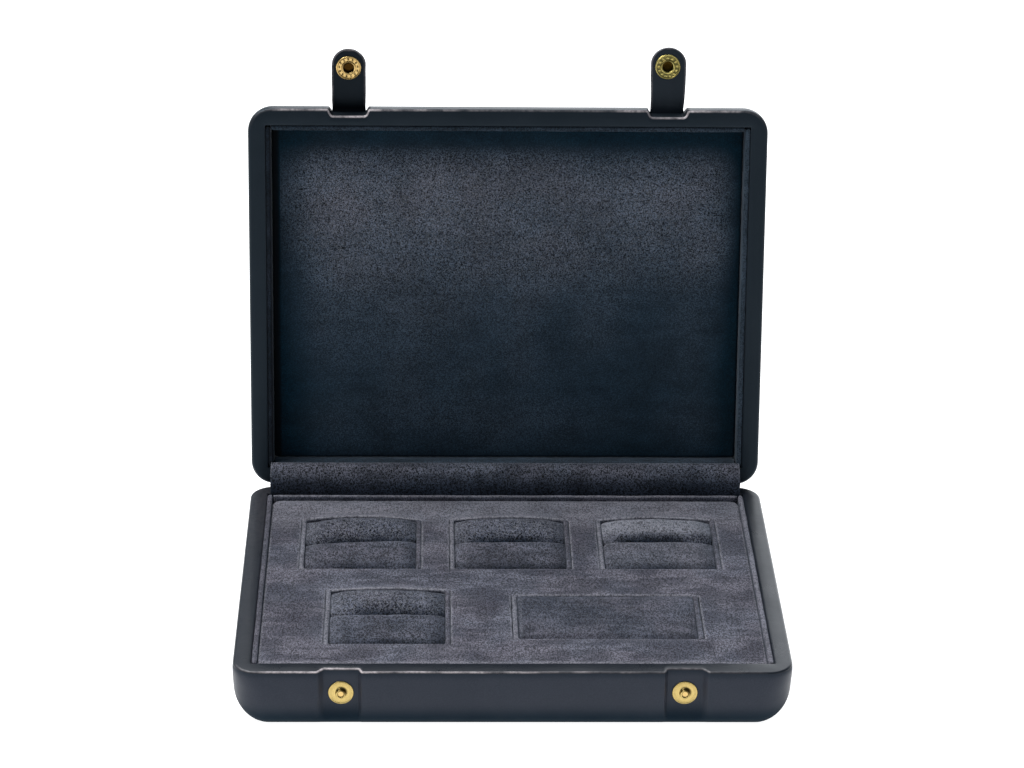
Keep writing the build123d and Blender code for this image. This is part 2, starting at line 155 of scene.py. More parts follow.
def suede(name, dark, light, edge, grain=0.50, curl=0.22, sheen=0.15, off=0.0, deep=(0.26, 0.24, 0.27), spread=0.09, fibre=0.035, lay=0.55, calm=0.0, fine=1.0, low=0.42, high=0.59):
    """Brushed suede: soft clouds where the nap lies another way, finger strokes, sub-millimetre nap grain and
    curly fibres, lighter cut or folded edges together with painted highlights, and painted shade through the shade
    attribute: towards the deep tint, near black above 1."""
    n = Net(name)
    co = n.scaled(n.co, (1, 1, 1), move=(off, off * 0.7, off * 0.3))
    big = n.noise(0.045, 2.0, 0.5, 0.0, co)
    mid = n.noise(0.125, 2.0, 0.5, 0.0, co)
    streak = n.noise(0.30, 2.0, 0.5, 0.0, n.scaled(co, (0.2, 1.0, 0.6), turn=(0, 0, 0.5)))
    cloud = n.math("ADD", n.math("MULTIPLY", big, 0.38), n.math("ADD", n.math("MULTIPLY", mid, 0.28), n.math("MULTIPLY", streak, 0.34)))
    col = n.mix(n.rng(cloud, 0.5 - spread, 0.5 + spread, smooth=True), dark, light)
    hue = n.rng(n.noise(0.035, 2.0, 0.5, 0.0, n.scaled(co, (1, 1, 1), move=(31, 17, 5))), 0.42, 0.58, smooth=True)
    col = n.mix(1.0, col, n.mix(hue, (0.975, 1.01, 1.02), (1.03, 0.99, 0.975)), "MULTIPLY")
    along = n.scaled(co, (fine, lay * fine, fine))            # grain a little longer the way the nap lies
    g1 = n.noise(1.15, 2.0, 0.6, 0.0, along)
    g2 = n.noise(2.3, 1.0, 0.5, 0.0, along)
    g = n.math("ADD", n.math("MULTIPLY", g1, 0.52), n.math("MULTIPLY", g2, 0.48))
    v = n.rng(g, low, high, max(1.0 - grain, 0.12), 1.0 + grain * 1.3)
    # where the painted shade is deep, calm evens out the grain
    flat = n.math("MULTIPLY", n.rng(n.attr("shade"), 0.40, 0.92, smooth=True), calm)
    v = n.math("ADD", v, n.math("MULTIPLY", flat, n.math("SUBTRACT", 0.92, v)))
    col = n.mix(1.0, col, n.node("ShaderNodeCombineColor", {0: v, 1: v, 2: n.math("ADD", n.math("MULTIPLY", v, 1.04), -0.02)}).outputs[0], "MULTIPLY")
    hair = n.rng(n.math("ABSOLUTE", n.math("SUBTRACT", n.noise(0.85, 2.0, 0.6, 0.0, n.scaled(along, (1, 1, 1), move=(7, 3, 11))), 0.5)), 0.0, fibre, curl, 0.0)
    hair = n.math("MULTIPLY", hair, n.math("SUBTRACT", 1.0, flat))
    col = n.mix(hair, col, edge)
    # lighter cut or folded edges, and painted highlights, mixed towards the edge colour
    wear = n.math("MULTIPLY", n.attr("wear"), n.rng(n.math("ADD", n.math("MULTIPLY", n.noise(0.8, 3.0, 0.6, 0.0, co), 0.45), n.math("MULTIPLY", g, 0.55)), 0.42, 0.58, 0.25, 1.15))
    col = n.mix(wear, col, edge)
    # painted shade: the colour multiplied towards the deep tint
    col = n.mix(n.attr("shade"), col, n.mix(1.0, col, deep, "MULTIPLY"))
    # painted shadow: near black where the shade attribute runs from 1 to 2
    col = n.mix(n.rng(n.attr("shade"), 1.0, 2.0), col, (0.0012, 0.0014, 0.0020))
    bump = n.bump(g, 0.00028, 0.5, n.bump(mid, 0.0012, 0.3))
    return n.done(Base_Color=col, Roughness=n.rng(g1, 0.3, 0.7, 0.88, 0.98), Normal=bump, **{
        "Specular_IOR_Level": 0.12, "Sheen_Weight": sheen, "Sheen_Roughness": 0.45, "Sheen_Tint": (0.66, 0.78, 0.95)})


def leather(name, base, light, rough=(0.36, 0.50), spec=0.5, tint=(0.9, 0.94, 1.0), deep=(0.35, 0.35, 0.38), dull=0.0):
    """Smooth calf leather: faint pebble grain, pores, uneven gloss, burnished edges that are partly a painted highlight
    and painted sheen, painted shade through the shade attribute.
    """
    n = Net(name)
    tone = n.rng(n.noise(0.028, 3.0, 0.6, 0.5), 0.35, 0.65)
    col = n.mix(tone, base, light)
    cells = n.node("ShaderNodeTexVoronoi", {"Vector": n.co, "Scale": 1.55, "Randomness": 0.95}, feature="SMOOTH_F1").outputs[0]
    pores = n.noise(2.6, 3.0, 0.65)
    fine = n.math("ADD", n.math("MULTIPLY", cells, 0.55), n.math("MULTIPLY", pores, 0.45))
    speck = n.rng(pores, 0.35, 0.68, 0.86, 1.14)
    col = n.mix(1.0, col, n.node("ShaderNodeCombineColor", {0: speck, 1: speck, 2: speck}).outputs[0], "MULTIPLY")
    # burnished edges, partly a painted highlight and painted sheen, mixed towards a pale pink
    wear = n.math("MULTIPLY", n.attr("wear"), n.rng(n.noise(0.55, 4.0, 0.7), 0.32, 0.66, 0.25, 1.0))
    col = n.mix(wear, col, (0.72, 0.64, 0.65))
    # painted shade: darker towards the deep tint where the shade attribute is set, and rougher there by dull
    col = n.mix(n.attr("shade"), col, n.mix(1.0, col, deep, "MULTIPLY"))
    gloss = n.math("ADD", n.rng(n.noise(0.07, 3.0, 0.6, 0.4), 0.3, 0.7, rough[0], rough[1]), n.rng(pores, 0.3, 0.7, -0.03, 0.05))
    gloss = n.math("ADD", gloss, n.math("MULTIPLY", n.attr("shade"), dull))
    bump = n.bump(fine, 0.00005, 0.45, n.bump(n.noise(0.12, 2.0, 0.5), 0.0005, 0.2))
    return n.done(Base_Color=col, Roughness=gloss, Normal=bump, **{"Specular_IOR_Level": spec, "Specular_Tint": tint})


def brass(name, tint, dull, rough=(0.20, 0.34)):
    """Turned brass: fine scratches; darkened through the shade attribute, partly tarnish in stamped marks and partly
    painted shade in bores and on sides turned from the light.
    """
    n = Net(name)
    t = n.rng(n.noise(0.9, 4.0, 0.65, 0.6), 0.38, 0.70)
    col = n.mix(n.math("MULTIPLY", t, 0.55), tint, dull)
    # tarnish in the stamped marks and painted shade in bores and on sides turned from the light
    col = n.mix(n.attr("shade"), col, n.mix(1.0, col, (0.055, 0.037, 0.016), "MULTIPLY"))
    scratch = n.noise(2.0, 4.0, 0.7, 0.0, n.scaled(n.co, (6.0, 0.7, 0.7), turn=(0.2, 0.3, 0.5)))
    r = n.math("ADD", n.rng(n.noise(1.7, 3.0, 0.6), 0.3, 0.7, rough[0], rough[1]), n.rng(scratch, 0.45, 0.75, 0.0, 0.10))
    return n.done(Base_Color=col, Roughness=r, Metallic=1.0, Normal=n.bump(scratch, 0.00003, 0.4))


def board(name, a, b):
    """Grey board or foam: fibres and flecks."""
    n = Net(name)
    fib = n.noise(0.9, 5.0, 0.7, 0.8, n.scaled(n.co, (0.5, 1.6, 1.0), turn=(0, 0, 0.6)))
    col = n.mix(n.rng(fib, 0.35, 0.66), a, b)
    return n.done(Base_Color=col, Roughness=n.rng(fib, 0.3, 0.7, 0.8, 0.95), Normal=n.bump(fib, 0.0002, 0.4), Specular_IOR_Level=0.2)


M = {
    "leather": leather("calf_leather", (0.0075, 0.0100, 0.0150), (0.0110, 0.0135, 0.0190), rough=(0.27, 0.35), spec=0.36),
    # a darker, less glossy copy of the calf leather for the lid: painted shade
    "leather_lid": leather("calf_leather_lid", (0.0050, 0.0078, 0.0112), (0.0075, 0.0105, 0.0145), rough=(0.37, 0.42), spec=0.26, tint=(0.62, 0.82, 1.0)),
    # a lighter, less glossy copy for the base's walls; deep and dull give painted shade towards the foot
    "leather_wall": leather("calf_leather_wall", (0.0265, 0.0292, 0.0400), (0.0300, 0.0328, 0.0440), rough=(0.32, 0.42), spec=0.18, tint=(0.72, 0.85, 1.0), deep=(0.10, 0.34, 0.46), dull=0.50),
    # the straps are one leather: the left strap's copy is darker and less glossy, painted shade
    "strap_left": leather("strap_leather_left", (0.0030, 0.0048, 0.0072), (0.0046, 0.0066, 0.0096), rough=(0.38, 0.48), spec=0.13, tint=(0.66, 0.84, 1.0)),
    "strap_right": leather("strap_leather_right", (0.0070, 0.0094, 0.0130), (0.0092, 0.0120, 0.0162), rough=(0.36, 0.46), spec=0.30, tint=(0.70, 0.84, 1.0)),
    "suede": suede("suede_base", (0.039, 0.039, 0.0510), (0.083, 0.082, 0.1010), (0.235, 0.234, 0.265), grain=0.60, curl=0.15, off=5.0, spread=0.066),
    "suede_roll": suede("suede_rolls", (0.028, 0.030, 0.040), (0.060, 0.061, 0.077), (0.215, 0.218, 0.250), grain=0.76, curl=0.28, off=37.0, deep=(0.16, 0.20, 0.25)),
    "suede_pad": suede("suede_pad", (0.028, 0.030, 0.040), (0.060, 0.061, 0.077), (0.215, 0.218, 0.250), grain=0.58, curl=0.28, off=83.0, deep=(0.16, 0.20, 0.25)),
    "suede_nap": suede("suede_nap", (0.021, 0.023, 0.032), (0.045, 0.047, 0.061), (0.290, 0.295, 0.335), grain=0.98, curl=0.50, off=43.0, deep=(0.12, 0.17, 0.22), fibre=0.042),
    # a darker, teal copy of the suede for inside the lid: painted shade
    "suede_lid": suede("suede_lid", (0.043, 0.050, 0.065), (0.070, 0.078, 0.099), (0.300, 0.300, 0.330), grain=1.10, curl=0.56, off=71.0, deep=(0.035, 0.215, 0.300), spread=0.12, lay=1.0, calm=0.72, fine=1.22, low=0.435, high=0.62),
    # darker again for the walls inside the lid: painted shade
    "suede_wall": suede("suede_lid_wall", (0.010, 0.018, 0.026), (0.024, 0.036, 0.050), (0.052, 0.070, 0.092), grain=0.60, off=23.0),
    "suede_gusset": suede("suede_gusset", (0.028, 0.031, 0.041), (0.060, 0.063, 0.079), (0.170, 0.176, 0.205), grain=0.92, curl=0.46, off=53.0, deep=(0.20, 0.26, 0.32)),
    "brass": brass("brass", (0.64, 0.45, 0.18), (0.46, 0.30, 0.10), rough=(0.19, 0.31)),
    "brass_right": brass("brass_olive", (0.62, 0.52, 0.18), (0.38, 0.31, 0.07), rough=(0.22, 0.34)),
    "brass_stud": brass("brass_stud", (0.57, 0.43, 0.165), (0.44, 0.32, 0.10), rough=(0.22, 0.34)),
    "spring": brass("spring_wire", (0.42, 0.40, 0.36), (0.30, 0.28, 0.24), rough=(0.28, 0.40)),
    "core": board("core_board", (0.16, 0.15, 0.14), (0.26, 0.25, 0.23)),
    "grey": board("grey_board", (0.20, 0.20, 0.20), (0.32, 0.32, 0.31)),
    "foam": board("foam_block", (0.05, 0.05, 0.055), (0.09, 0.09, 0.10)),
}


# ------------------------------------------------------------------ mesh helpers
def lid_pts(p):
    """Points given in the shut lid (x, y, w from its rim), carried to the open lid. mm."""
    p = np.asarray(p, float)
    dy, dz = p[:, 1] - YA, p[:, 2] + 0.85
    return np.stack([p[:, 0], YA + dy * CA + dz * SA, ZA - dy * SA + dz * CA], 1)


def wob(p, size, seed=0.0):
    """Smooth noise of about -1..1 with features of about size mm."""
    p = np.asarray(p, float).reshape(-1, 3) / size + np.array([seed, -1.7 * seed, 0.6 * seed])
    return np.array([noise.noise(Vector(q)) for q in p])


def make(name, verts, faces, mat, slot, body=None, swap=(), outward=True, **attrs):
    me = bpy.data.meshes.new(name)
    me.from_pydata((np.asarray(verts, float) * MM).tolist(), [], [tuple(int(i) for i in f) for f in faces])
    bm = bmesh.new()
    bm.from_mesh(me)
    if outward:
        bmesh.ops.recalc_face_normals(bm, faces=bm.faces)
    bm.to_mesh(me)
    bm.free()
    for key, values in attrs.items():
        me.attributes.new(key, "FLOAT", "POINT").data.foreach_set("value", np.asarray(values, np.float32))
    me.polygons.foreach_set("use_smooth", [True] * len(me.polygons))
    me.materials.append(M[mat])
    ob = bpy.data.objects.new(name, me)
    bpy.context.scene.collection.objects.link(ob)
    if swap:
        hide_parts(*swap)
    if body:
        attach(ob, body)
    return ob


def loft_faces(rows, n, wrap=False, cap0=False, cap1=False, first=0):
    faces = []
    for i in range(rows if wrap else rows - 1):
        a, b = first + i * n, first + ((i + 1) % rows) * n
        for j in range(n):
            k = (j + 1) % n
            faces.append((a + j, a + k, b + k, b + j))
    if cap0:
        faces.append(tuple(first + j for j in reversed(range(n))))
    if cap1:
        faces.append(tuple(first + (rows - 1) * n + j for j in range(n)))
    return faces


def smooth(t):
    t = np.clip(t, 0, 1)
    return t * t * (3 - 2 * t)


# ------------------------------------------------------------------ the case's outline, column by column
def notch_half():
    """Half of a strap channel's plan outline from its middle outwards: distance along the wall, depth."""
    pts = [(a, 2.8) for a in (0.0, 1.2, 2.4, 3.5, 4.5, 5.3)]
    for k in range(9):
        t = math.radians(90 - 68.56 * k / 8)
        pts.append((5.878 + 1.5 * math.cos(t), 1.3 + 1.5 * math.sin(t)))
    pts.append((7.49, 1.30))
    for k in range(9):
        t = math.radians(201.44 + 68.56 * k / 8)
        pts.append((8.818 + 1.2 * math.cos(t), 1.2 + 1.2 * math.sin(t)))
    pts.append((9.3, 0.0))
    return pts


def columns():
    cols = []                                       # (side, coordinate, share of the way to the corner, depth, angle)
    half = notch_half()
    front = []
    for s in (-SNAP_X, SNAP_X):
        front += [(s - a, d) for a, d in half[1:]] + [(s + a, d) for a, d in half]
    x = -86.0
    while x <= 86.01:
        if all(abs(x - s) > 10.2 for s in (-SNAP_X, SNAP_X)):
            front.append((x, 0.0))
        x += 1.6
    front += [(-86.0, 0.0), (86.0, 0.0)]
    front = sorted(set((round(a, 4), round(d, 4)) for a, d in front))
    T = (0.34, 0.67)
    side = [(-58.0 + 116.0 * i / 58) for i in range(59)]
    back = [(86.0 - 172.0 * i / 80) for i in range(81)]
    arc = [90.0 * k / 14 for k in range(15)]
    cols += [("f", -86.0, t, 0.0, -90.0) for t in reversed(T)]
    cols += [("f", a, 0.0, d, -90.0) for a, d in front]
    cols += [("f", 86.0, t, 0.0, -90.0) for t in T]
    cols += [("c", 1, -1, 0.0, -90.0 + a) for a in arc]
    cols += [("r", -58.0, t, 0.0, 0.0) for t in reversed(T)]
    cols += [("r", v, 0.0, 0.0, 0.0) for v in side]
    cols += [("r", 58.0, t, 0.0, 0.0) for t in T]
    cols += [("c", 1, 1, 0.0, a) for a in arc]
    cols += [("b", 86.0, t, 0.0, 90.0) for t in reversed(T)]
    cols += [("b", v, 0.0, 0.0, 90.0) for v in back]
    cols += [("b", -86.0, t, 0.0, 90.0) for t in T]
    cols += [("c", -1, 1, 0.0, 90.0 + a) for a in arc]
    cols += [("l", 58.0, t, 0.0, 180.0) for t in reversed(T)]
    cols += [("l", v, 0.0, 0.0, 180.0) for v in reversed(side)]
    cols += [("l", -58.0, t, 0.0, 180.0) for t in T]
    cols += [("c", -1, -1, 0.0, 180.0 + a) for a in arc]
    return cols


COLS = columns()
DEPTH = np.array([c[3] for c in COLS])


def side_share(c):
    """0 on the front wall, 1 on the sides and the back, in between round the front corners."""
    kind, v, t, _, ang = c
    if kind == "f":
        return 0.0
    if kind == "c" and t == -1:
        return (ang + 90.0) / 90.0 if v == 1 else (270.0 - ang) / 90.0
    return 1.0


SIDE = np.array([side_share(c) for c in COLS])
ALONG = np.array([c[1] if c[0] == "f" else math.copysign(100.0, c[1]) for c in COLS])   # x along the front wall


def eased(t):
    t = np.clip(t, 0, 1)
    return t * t * (3 - 2 * t)


# the channels in the base are pressed in softly; the lid's notches are cut
def pressed(c):
    """Depth of the soft channel: steep towards the case's middle, gentle towards its corners."""
    if c[0] != "f" or c[2]:
        return 0.0
    s = math.copysign(SNAP_X, c[1])
    d = (c[1] - s) * math.copysign(1.0, s)
    return 2.8 * float(1 - eased((d - 5.9) / 3.3 if d > 0 else (-d - 6.3) / 1.7))


SOFT = np.array([pressed(c) for c in COLS])


def plan(hw, hd, r):
    """x, y of every column on a rounded rectangle."""
    out = []
    for side, v, t, d, ang in COLS:
        if side == "c":
            a = math.radians(ang)
            out.append((v * (hw - r) + r * math.cos(a), t * (hd - r) + r * math.sin(a)))
            continue
        lim = (hw if side in "fb" else hd) - r
        v = v + t * (math.copysign(lim, v) - v)
        out.append({"f": (v, -hd), "r": (hw, v), "b": (v, hd), "l": (-hw, v)}[side])
    return np.array(out)


def cut(xy, hd, grow=0.0, depth=None):
    """Pushes the front wall in where a strap channel runs; hd is the half depth of this ring, grow a layer's offset."""
    depth = DEPTH if depth is None else depth
    inset = HD + 0.0 - hd
    k = 0.35
    k = k if depth is DEPTH else 1.1
    t = depth + grow - inset
    push = 0.5 * (t + np.sqrt(t * t + k * k)) * smooth(depth / 0.5)
    push = np.where(inset - grow < 0.05, depth, push)
    out = xy.copy()
    out[:, 1] += push
    return out


def tucked(a, more=0.0):
    """The base's lower edge rolls in 12 mm at the sides and 9.5 mm at the front and back; a runs 0..90 degrees."""
    f = 1 - math.cos(math.radians(a))
    sx, sy = 12.0 * f + more, 9.5 * f + more
    return plan(HW - sx, HD - sy, max(13.0 - 0.95 * sx, 0.8)), HD - sy


def shrink(xy, by):
    """Moves an outline inwards along its own normals."""
    t = np.roll(xy, -1, 0) - np.roll(xy, 1, 0)
    n = np.stack([-t[:, 1], t[:, 0]], 1)
    n /= np.maximum(np.linalg.norm(n, axis=1), 1e-9)[:, None]
    return xy + n * np.broadcast_to(by, (len(xy),))[:, None]


def ring(xy, z):
    z = np.broadcast_to(np.asarray(z, float), (len(xy),))
    return np.column_stack([xy, z])


INNER = plan(IW, ID, 0.6)
OUTER = cut(plan(HW, HD, 9.6), HD)
OUTER_SOFT = cut(plan(HW, HD, 9.6), HD, depth=SOFT)


def rim_rows(z0, up, outline, t_edge=0.7, crown=0.10):
    """Rings from the opening's inner edge over the flat rim to the outer edge's rounding. up is +1 or -1 along z."""
    rows, wear = [], []
    for a in (0.0, 30.0, 60.0, 90.0):
        a = math.radians(a)
        rows.append((shrink(INNER, -0.45 * (1 - math.cos(a))), z0 - up * 0.45 * (1 - math.sin(a))))
        wear.append(0.0)
    inner, outer = shrink(INNER, -0.45), shrink(outline, t_edge)
    for t in (0.10, 0.25, 0.42, 0.58, 0.74, 0.87, 0.95):
        rows.append((inner + (outer - inner) * t, z0 + up * crown * math.sin(math.pi * t) - up * 0.05 * t))
        wear.append(0.0)
    # the outer edge's rounding carries the burnished edge line, partly a painted highlight
    for a in (90.0, 76.0, 62.0, 48.0, 34.0, 20.0, 8.0, 0.0):
        b = math.radians(a)
        rows.append((shrink(outline, t_edge * (1 - math.cos(b))), z0 - up * t_edge * (1 - math.sin(b)) - up * 0.04))
        wear.append({90: 0.45, 76: 0.95, 62: 1.0, 48: 1.0, 34: 0.65, 20: 0.10}.get(round(a), 0.0))
    return rows, wear


def base_leather():
    rows, wear = [], []
    for z in (20.0, 22.5, 24.6):
        rows.append((INNER, z))
        wear.append(0.0)
    r, w = rim_rows(HB, 1, OUTER_SOFT, 0.80 + 0.27 * SIDE)
    rows += r
    wear += w
    top = HB - 0.75
    first = len(rows)
    low = 14.2                                       # start of the bottom rounding
    for t in (0.10, 0.19, 0.28, 0.46, 0.64, 0.82, 1.0):
        z = top + (low - top) * t
        rc = 9.6 + (13.0 - 9.6) * smooth(t)
        bulge = 0.16 * math.sin(math.pi * min(t, 1.0) * 0.9)
        xy = plan(HW + bulge, HD + bulge, rc)
        xy[:, 1] += bulge * SOFT / 2.8
        rows.append((cut(xy, HD, depth=SOFT), z))
        wear.append(0.0)
    for k in range(1, 13):
        a = math.radians(90.0 * k / 12)
        rows.append((cut(*tucked(90.0 * k / 12), depth=SOFT), 0.3 + (low - 0.3) * (1 - math.sin(a))))
        wear.append(0.0)
    rows.append((plan(92.35, 66.35, 0.8), 0.3))
    rows.append((plan(92.3, 66.3, 0.8), 1.25))
    wear += [0.0, 0.0]
    for k in (12, 9, 6, 3, 0):                      # the inner side, one leather thickness in
        a = math.radians(90.0 * k / 12)
        rows.append((cut(*tucked(90.0 * k / 12, 1.0), 1.0, SOFT), 1.3 + (low - 1.3) * (1 - math.sin(a))))
        wear.append(0.0)
    rows.append((cut(plan(HW - 1, HD - 1, 9.0), HD - 1, 1.0, SOFT), 24.2))
    rows.append((plan(IW + 0.8, ID + 0.8, 1.4), 25.0))
    rows.append((plan(IW + 0.8, ID + 0.8, 1.4), 20.0))
    wear += [0.0] * 3
    v = np.concatenate([ring(xy, z) for xy, z in rows])
    n = len(COLS)
    v[:, 2] += (0.07 * wob(v, 11.0, 3.0) + 0.16 * wob(v, 24.0, 6.0)) * (v[:, 2] > 22)
    out = wob(v, 26.0, 9.0) * 0.16
    c = v[:, :2] / np.maximum(np.linalg.norm(v[:, :2], axis=1), 1e-9)[:, None]
    v[:, :2] += c * (out * (v[:, 2] < 24) * (v[:, 2] > 2.0) * np.tile(1 - SOFT / 2.8, len(rows)))[:, None]
    # the burnished front edge line, partly a painted highlight: strongest at the left front, fading to the right and
    # round the corners
    edge_wear_and_highlight = np.interp(ALONG, (-100, -92, -80, -25, 0, 30, 50, 75, 100), (0.2, 0.5, 1.0, 1.0, 0.6, 0.45, 0.32, 0.2, 0.0))
    P = np.column_stack([ALONG, np.zeros(n), np.zeros(n)])
    edge_wear_and_highlight = edge_wear_and_highlight * (0.62 + 0.38 * np.clip(wob(P, 7.0, 44.0) * 2.2, -1, 1)) * (1 - SIDE)
    wear_v = np.outer(wear, edge_wear_and_highlight).ravel()
    # painted sheen on the left rim, growing towards the back
    painted_sheen = (0.010 + 0.026 * smooth((v[:, 1] - 5.0) / 45.0)) * (v[:, 0] < -95.5) * (v[:, 2] > 25.0)
    wear_v = np.maximum(wear_v, painted_sheen)
    seam = {first - 2: 0.40, first - 1: 0.50, first: 0.34, first + 1: 0.10}     # the shadow line under the turned edge
    # painted shade: full on the inner lip below the rim, and the painted shadow line under the turned edge
    shade = np.concatenate([np.full(n, 1.0 if k < 3 else seam.get(k, 0.0)) for k in range(len(rows))])
    # painted shade on the outside walls, darker towards the foot
    outside = (np.arange(len(v)) >= (first - 2) * n) & (np.arange(len(v)) < (first + 19) * n)
    shade = np.maximum(shade, outside * smooth((13.8 - v[:, 2]) / 9.0))
    ob = make("base_leather_shell", v, loft_faces(len(rows), n, wrap=True), "leather", "leather", "base",
              ("base_leather",), wear=wear_v, shade=shade)
    ob.data.materials.append(M["leather_wall"])      # the walls use a lighter, less glossy copy of the leather, with painted shade towards the foot
    ob.data.polygons.foreach_set("material_index", [int(first - 2 <= k < first + 20) for k in range(len(rows)) for _ in range(n)])
    return ob


def base_tray():
    """The board tray under the leather."""
    rows = [(plan(60, 40, 8.0), 1.4), (plan(HW - 13.2, HD - 13.2, 0.9), 1.4)]
    for k in range(11, -1, -1):
        a = math.radians(90.0 * k / 12)
        i = 12.0 * (1 - math.cos(a)) + 1.08
        rows.append((cut(plan(HW - i, HD - i, max(12.6 - i, 0.9)), HD - i, 1.08, SOFT), 1.4 + 12.8 * (1 - math.sin(a))))
    rows.append((cut(plan(HW - 1.08, HD - 1.08, 9.0), HD - 1.08, 1.08, SOFT), 24.0))
    rows.append((plan(IW + 0.9, ID + 0.9, 1.4), 24.8))
    rows.append((plan(IW + 0.9, ID + 0.9, 1.4), 4.0))
    rows.append((plan(60, 40, 8.0), 4.0))
    v = np.concatenate([ring(xy, z) for xy, z in rows])
    return make("base_tray", v, loft_faces(len(rows), len(COLS), cap0=True, cap1=True), "core", "core_board", "base", ("base_core",))


def lid_leather():
    rows, wear = [], []
    rows.append((plan(40, 20, 6.0), 13.5))
    rows.append((plan(HW - 9.6, HD - 9.6, 1.0), 13.5))
    wear += [0.0] * 2
    for k in (11, 8, 5, 2, 0):                      # the inner side
        a = math.radians(90.0 * k / 12)
        i = 9.5 * (1 - math.cos(a)) + 1.0
        rows.append((cut(plan(HW - i, HD - i, max(10.0 - i, 0.9)), HD - i, 1.0), 5.0 + 8.5 * math.sin(a)))
        wear.append(0.0)
    rows.append((cut(plan(HW - 1, HD - 1, 8.6), HD - 1, 1.0), 1.0))
    rows.append((plan(IW + 0.8, ID + 0.8, 1.4), 1.0))
    rows.append((plan(IW + 0.8, ID + 0.8, 1.4), 6.0))
    rows.append((INNER, 6.0))
    rows.append((INNER, 3.0))
    wear += [0.0] * 5
    inner_rows = len(rows)
    r, w = rim_rows(0.0, -1, OUTER, 0.85 + 0.4 * SIDE)
    rows += r
    wear += w
    for t in (0.2, 0.35, 0.6, 0.85):
        z = 0.75 + 4.25 * t
        rows.append((cut(plan(HW + 0.06, HD + 0.06, 9.7), HD), z))
        wear.append(0.0)
    for k in range(0, 13):
        a = math.radians(90.0 * k / 12)
        i = 9.5 * (1 - math.cos(a))
        rows.append((cut(plan(HW - i, HD - i, max(10.0 - i, 0.7)), HD - i), 5.0 + 9.5 * math.sin(a)))
        wear.append(0.0)
    for s in (0.96, 0.9, 0.8, 0.66, 0.5, 0.34, 0.2, 0.1):
        xy = plan(HW - 9.5, HD - 9.5, 0.7) * s
        rows.append((xy, 14.5 + 0.35 * (1 - s ** 4)))
        wear.append(0.0)
    p = np.concatenate([ring(xy, z) for xy, z in rows])
    n = len(COLS)
    face = p[:, 2] > 5.5
    p[:, 2] += np.where(face & (np.arange(len(p)) >= inner_rows * n), 0.18 * wob(p, 34.0, 5.0), 0)
    p[:, 2] += 0.06 * wob(p, 11.0, 2.0) * (p[:, 2] < 1.0)
    v = lid_pts(p)
    # painted shade on the lid's inner side
    shade = np.repeat([1.0 if k < inner_rows else 0.0 for k in range(len(rows))], n)
    # the burnished top edge line, partly a painted highlight: along the top and round the notches, none on the sides
    edge_wear_and_highlight = np.interp(ALONG, (-100, -90, -78, -50, -30, 0, 40, 56, 74, 90, 100), (0.3, 0.9, 0.9, 0.8, 0.35, 0.2, 0.25, 0.8, 0.9, 0.6, 0.2))
    P = np.column_stack([ALONG, np.zeros(n), np.zeros(n)])
    edge_wear_and_highlight = edge_wear_and_highlight * (0.66 + 0.34 * np.clip(wob(P, 6.0, 48.0) * 2.2, -1, 1)) * (1 - SIDE)
    return make("lid_leather_shell", v, loft_faces(len(rows), n, cap0=True, cap1=True), "leather_lid", "leather", "lid",
                ("lid_leather",), wear=np.outer(wear, edge_wear_and_highlight).ravel(), shade=shade)


base_leather()
base_tray()
lid_leather()


# ------------------------------------------------------------------ soft heightfield pieces
def steps(lo, hi, step=1.0, fine=(0.0, 0.12, 0.3, 0.55, 0.9, 1.35, 1.9, 2.6, 3.4), cuts=()):
    """Grid lines from lo to hi, closer together near both ends and near each cut."""
    vals = set()
    for c, ways in [(lo, (1,)), (hi, (-1,))] + [(c, (-1, 1)) for c in cuts]:
        for w in ways:
            vals |= {round(c + w * f, 5) for f in fine if lo - 1e-6 <= c + w * f <= hi + 1e-6}
    vals = sorted(vals)
    out = [vals[0]]
    for v in vals[1:]:
        gap = v - out[-1]
        if gap < 0.06:
            if v in cuts or v == hi:
                out[-1] = v
            continue
        k = max(1, math.ceil(gap / step))
        base = out[-1]
        out += [base + gap * i / k for i in range(1, k)] + [v]
    return out


def rounded_distance(x, y, x0, x1, y0, y1, r):
    """Distance inside a rounded rectangle, negative outside."""
    cx, cy = (x0 + x1) / 2, (y0 + y1) / 2
    qx = np.abs(x - cx) - ((x1 - x0) / 2 - r)
    qy = np.abs(y - cy) - ((y1 - y0) / 2 - r)
    outside = np.hypot(np.maximum(qx, 0), np.maximum(qy, 0))
    return r - (outside + np.minimum(np.maximum(qx, qy), 0))


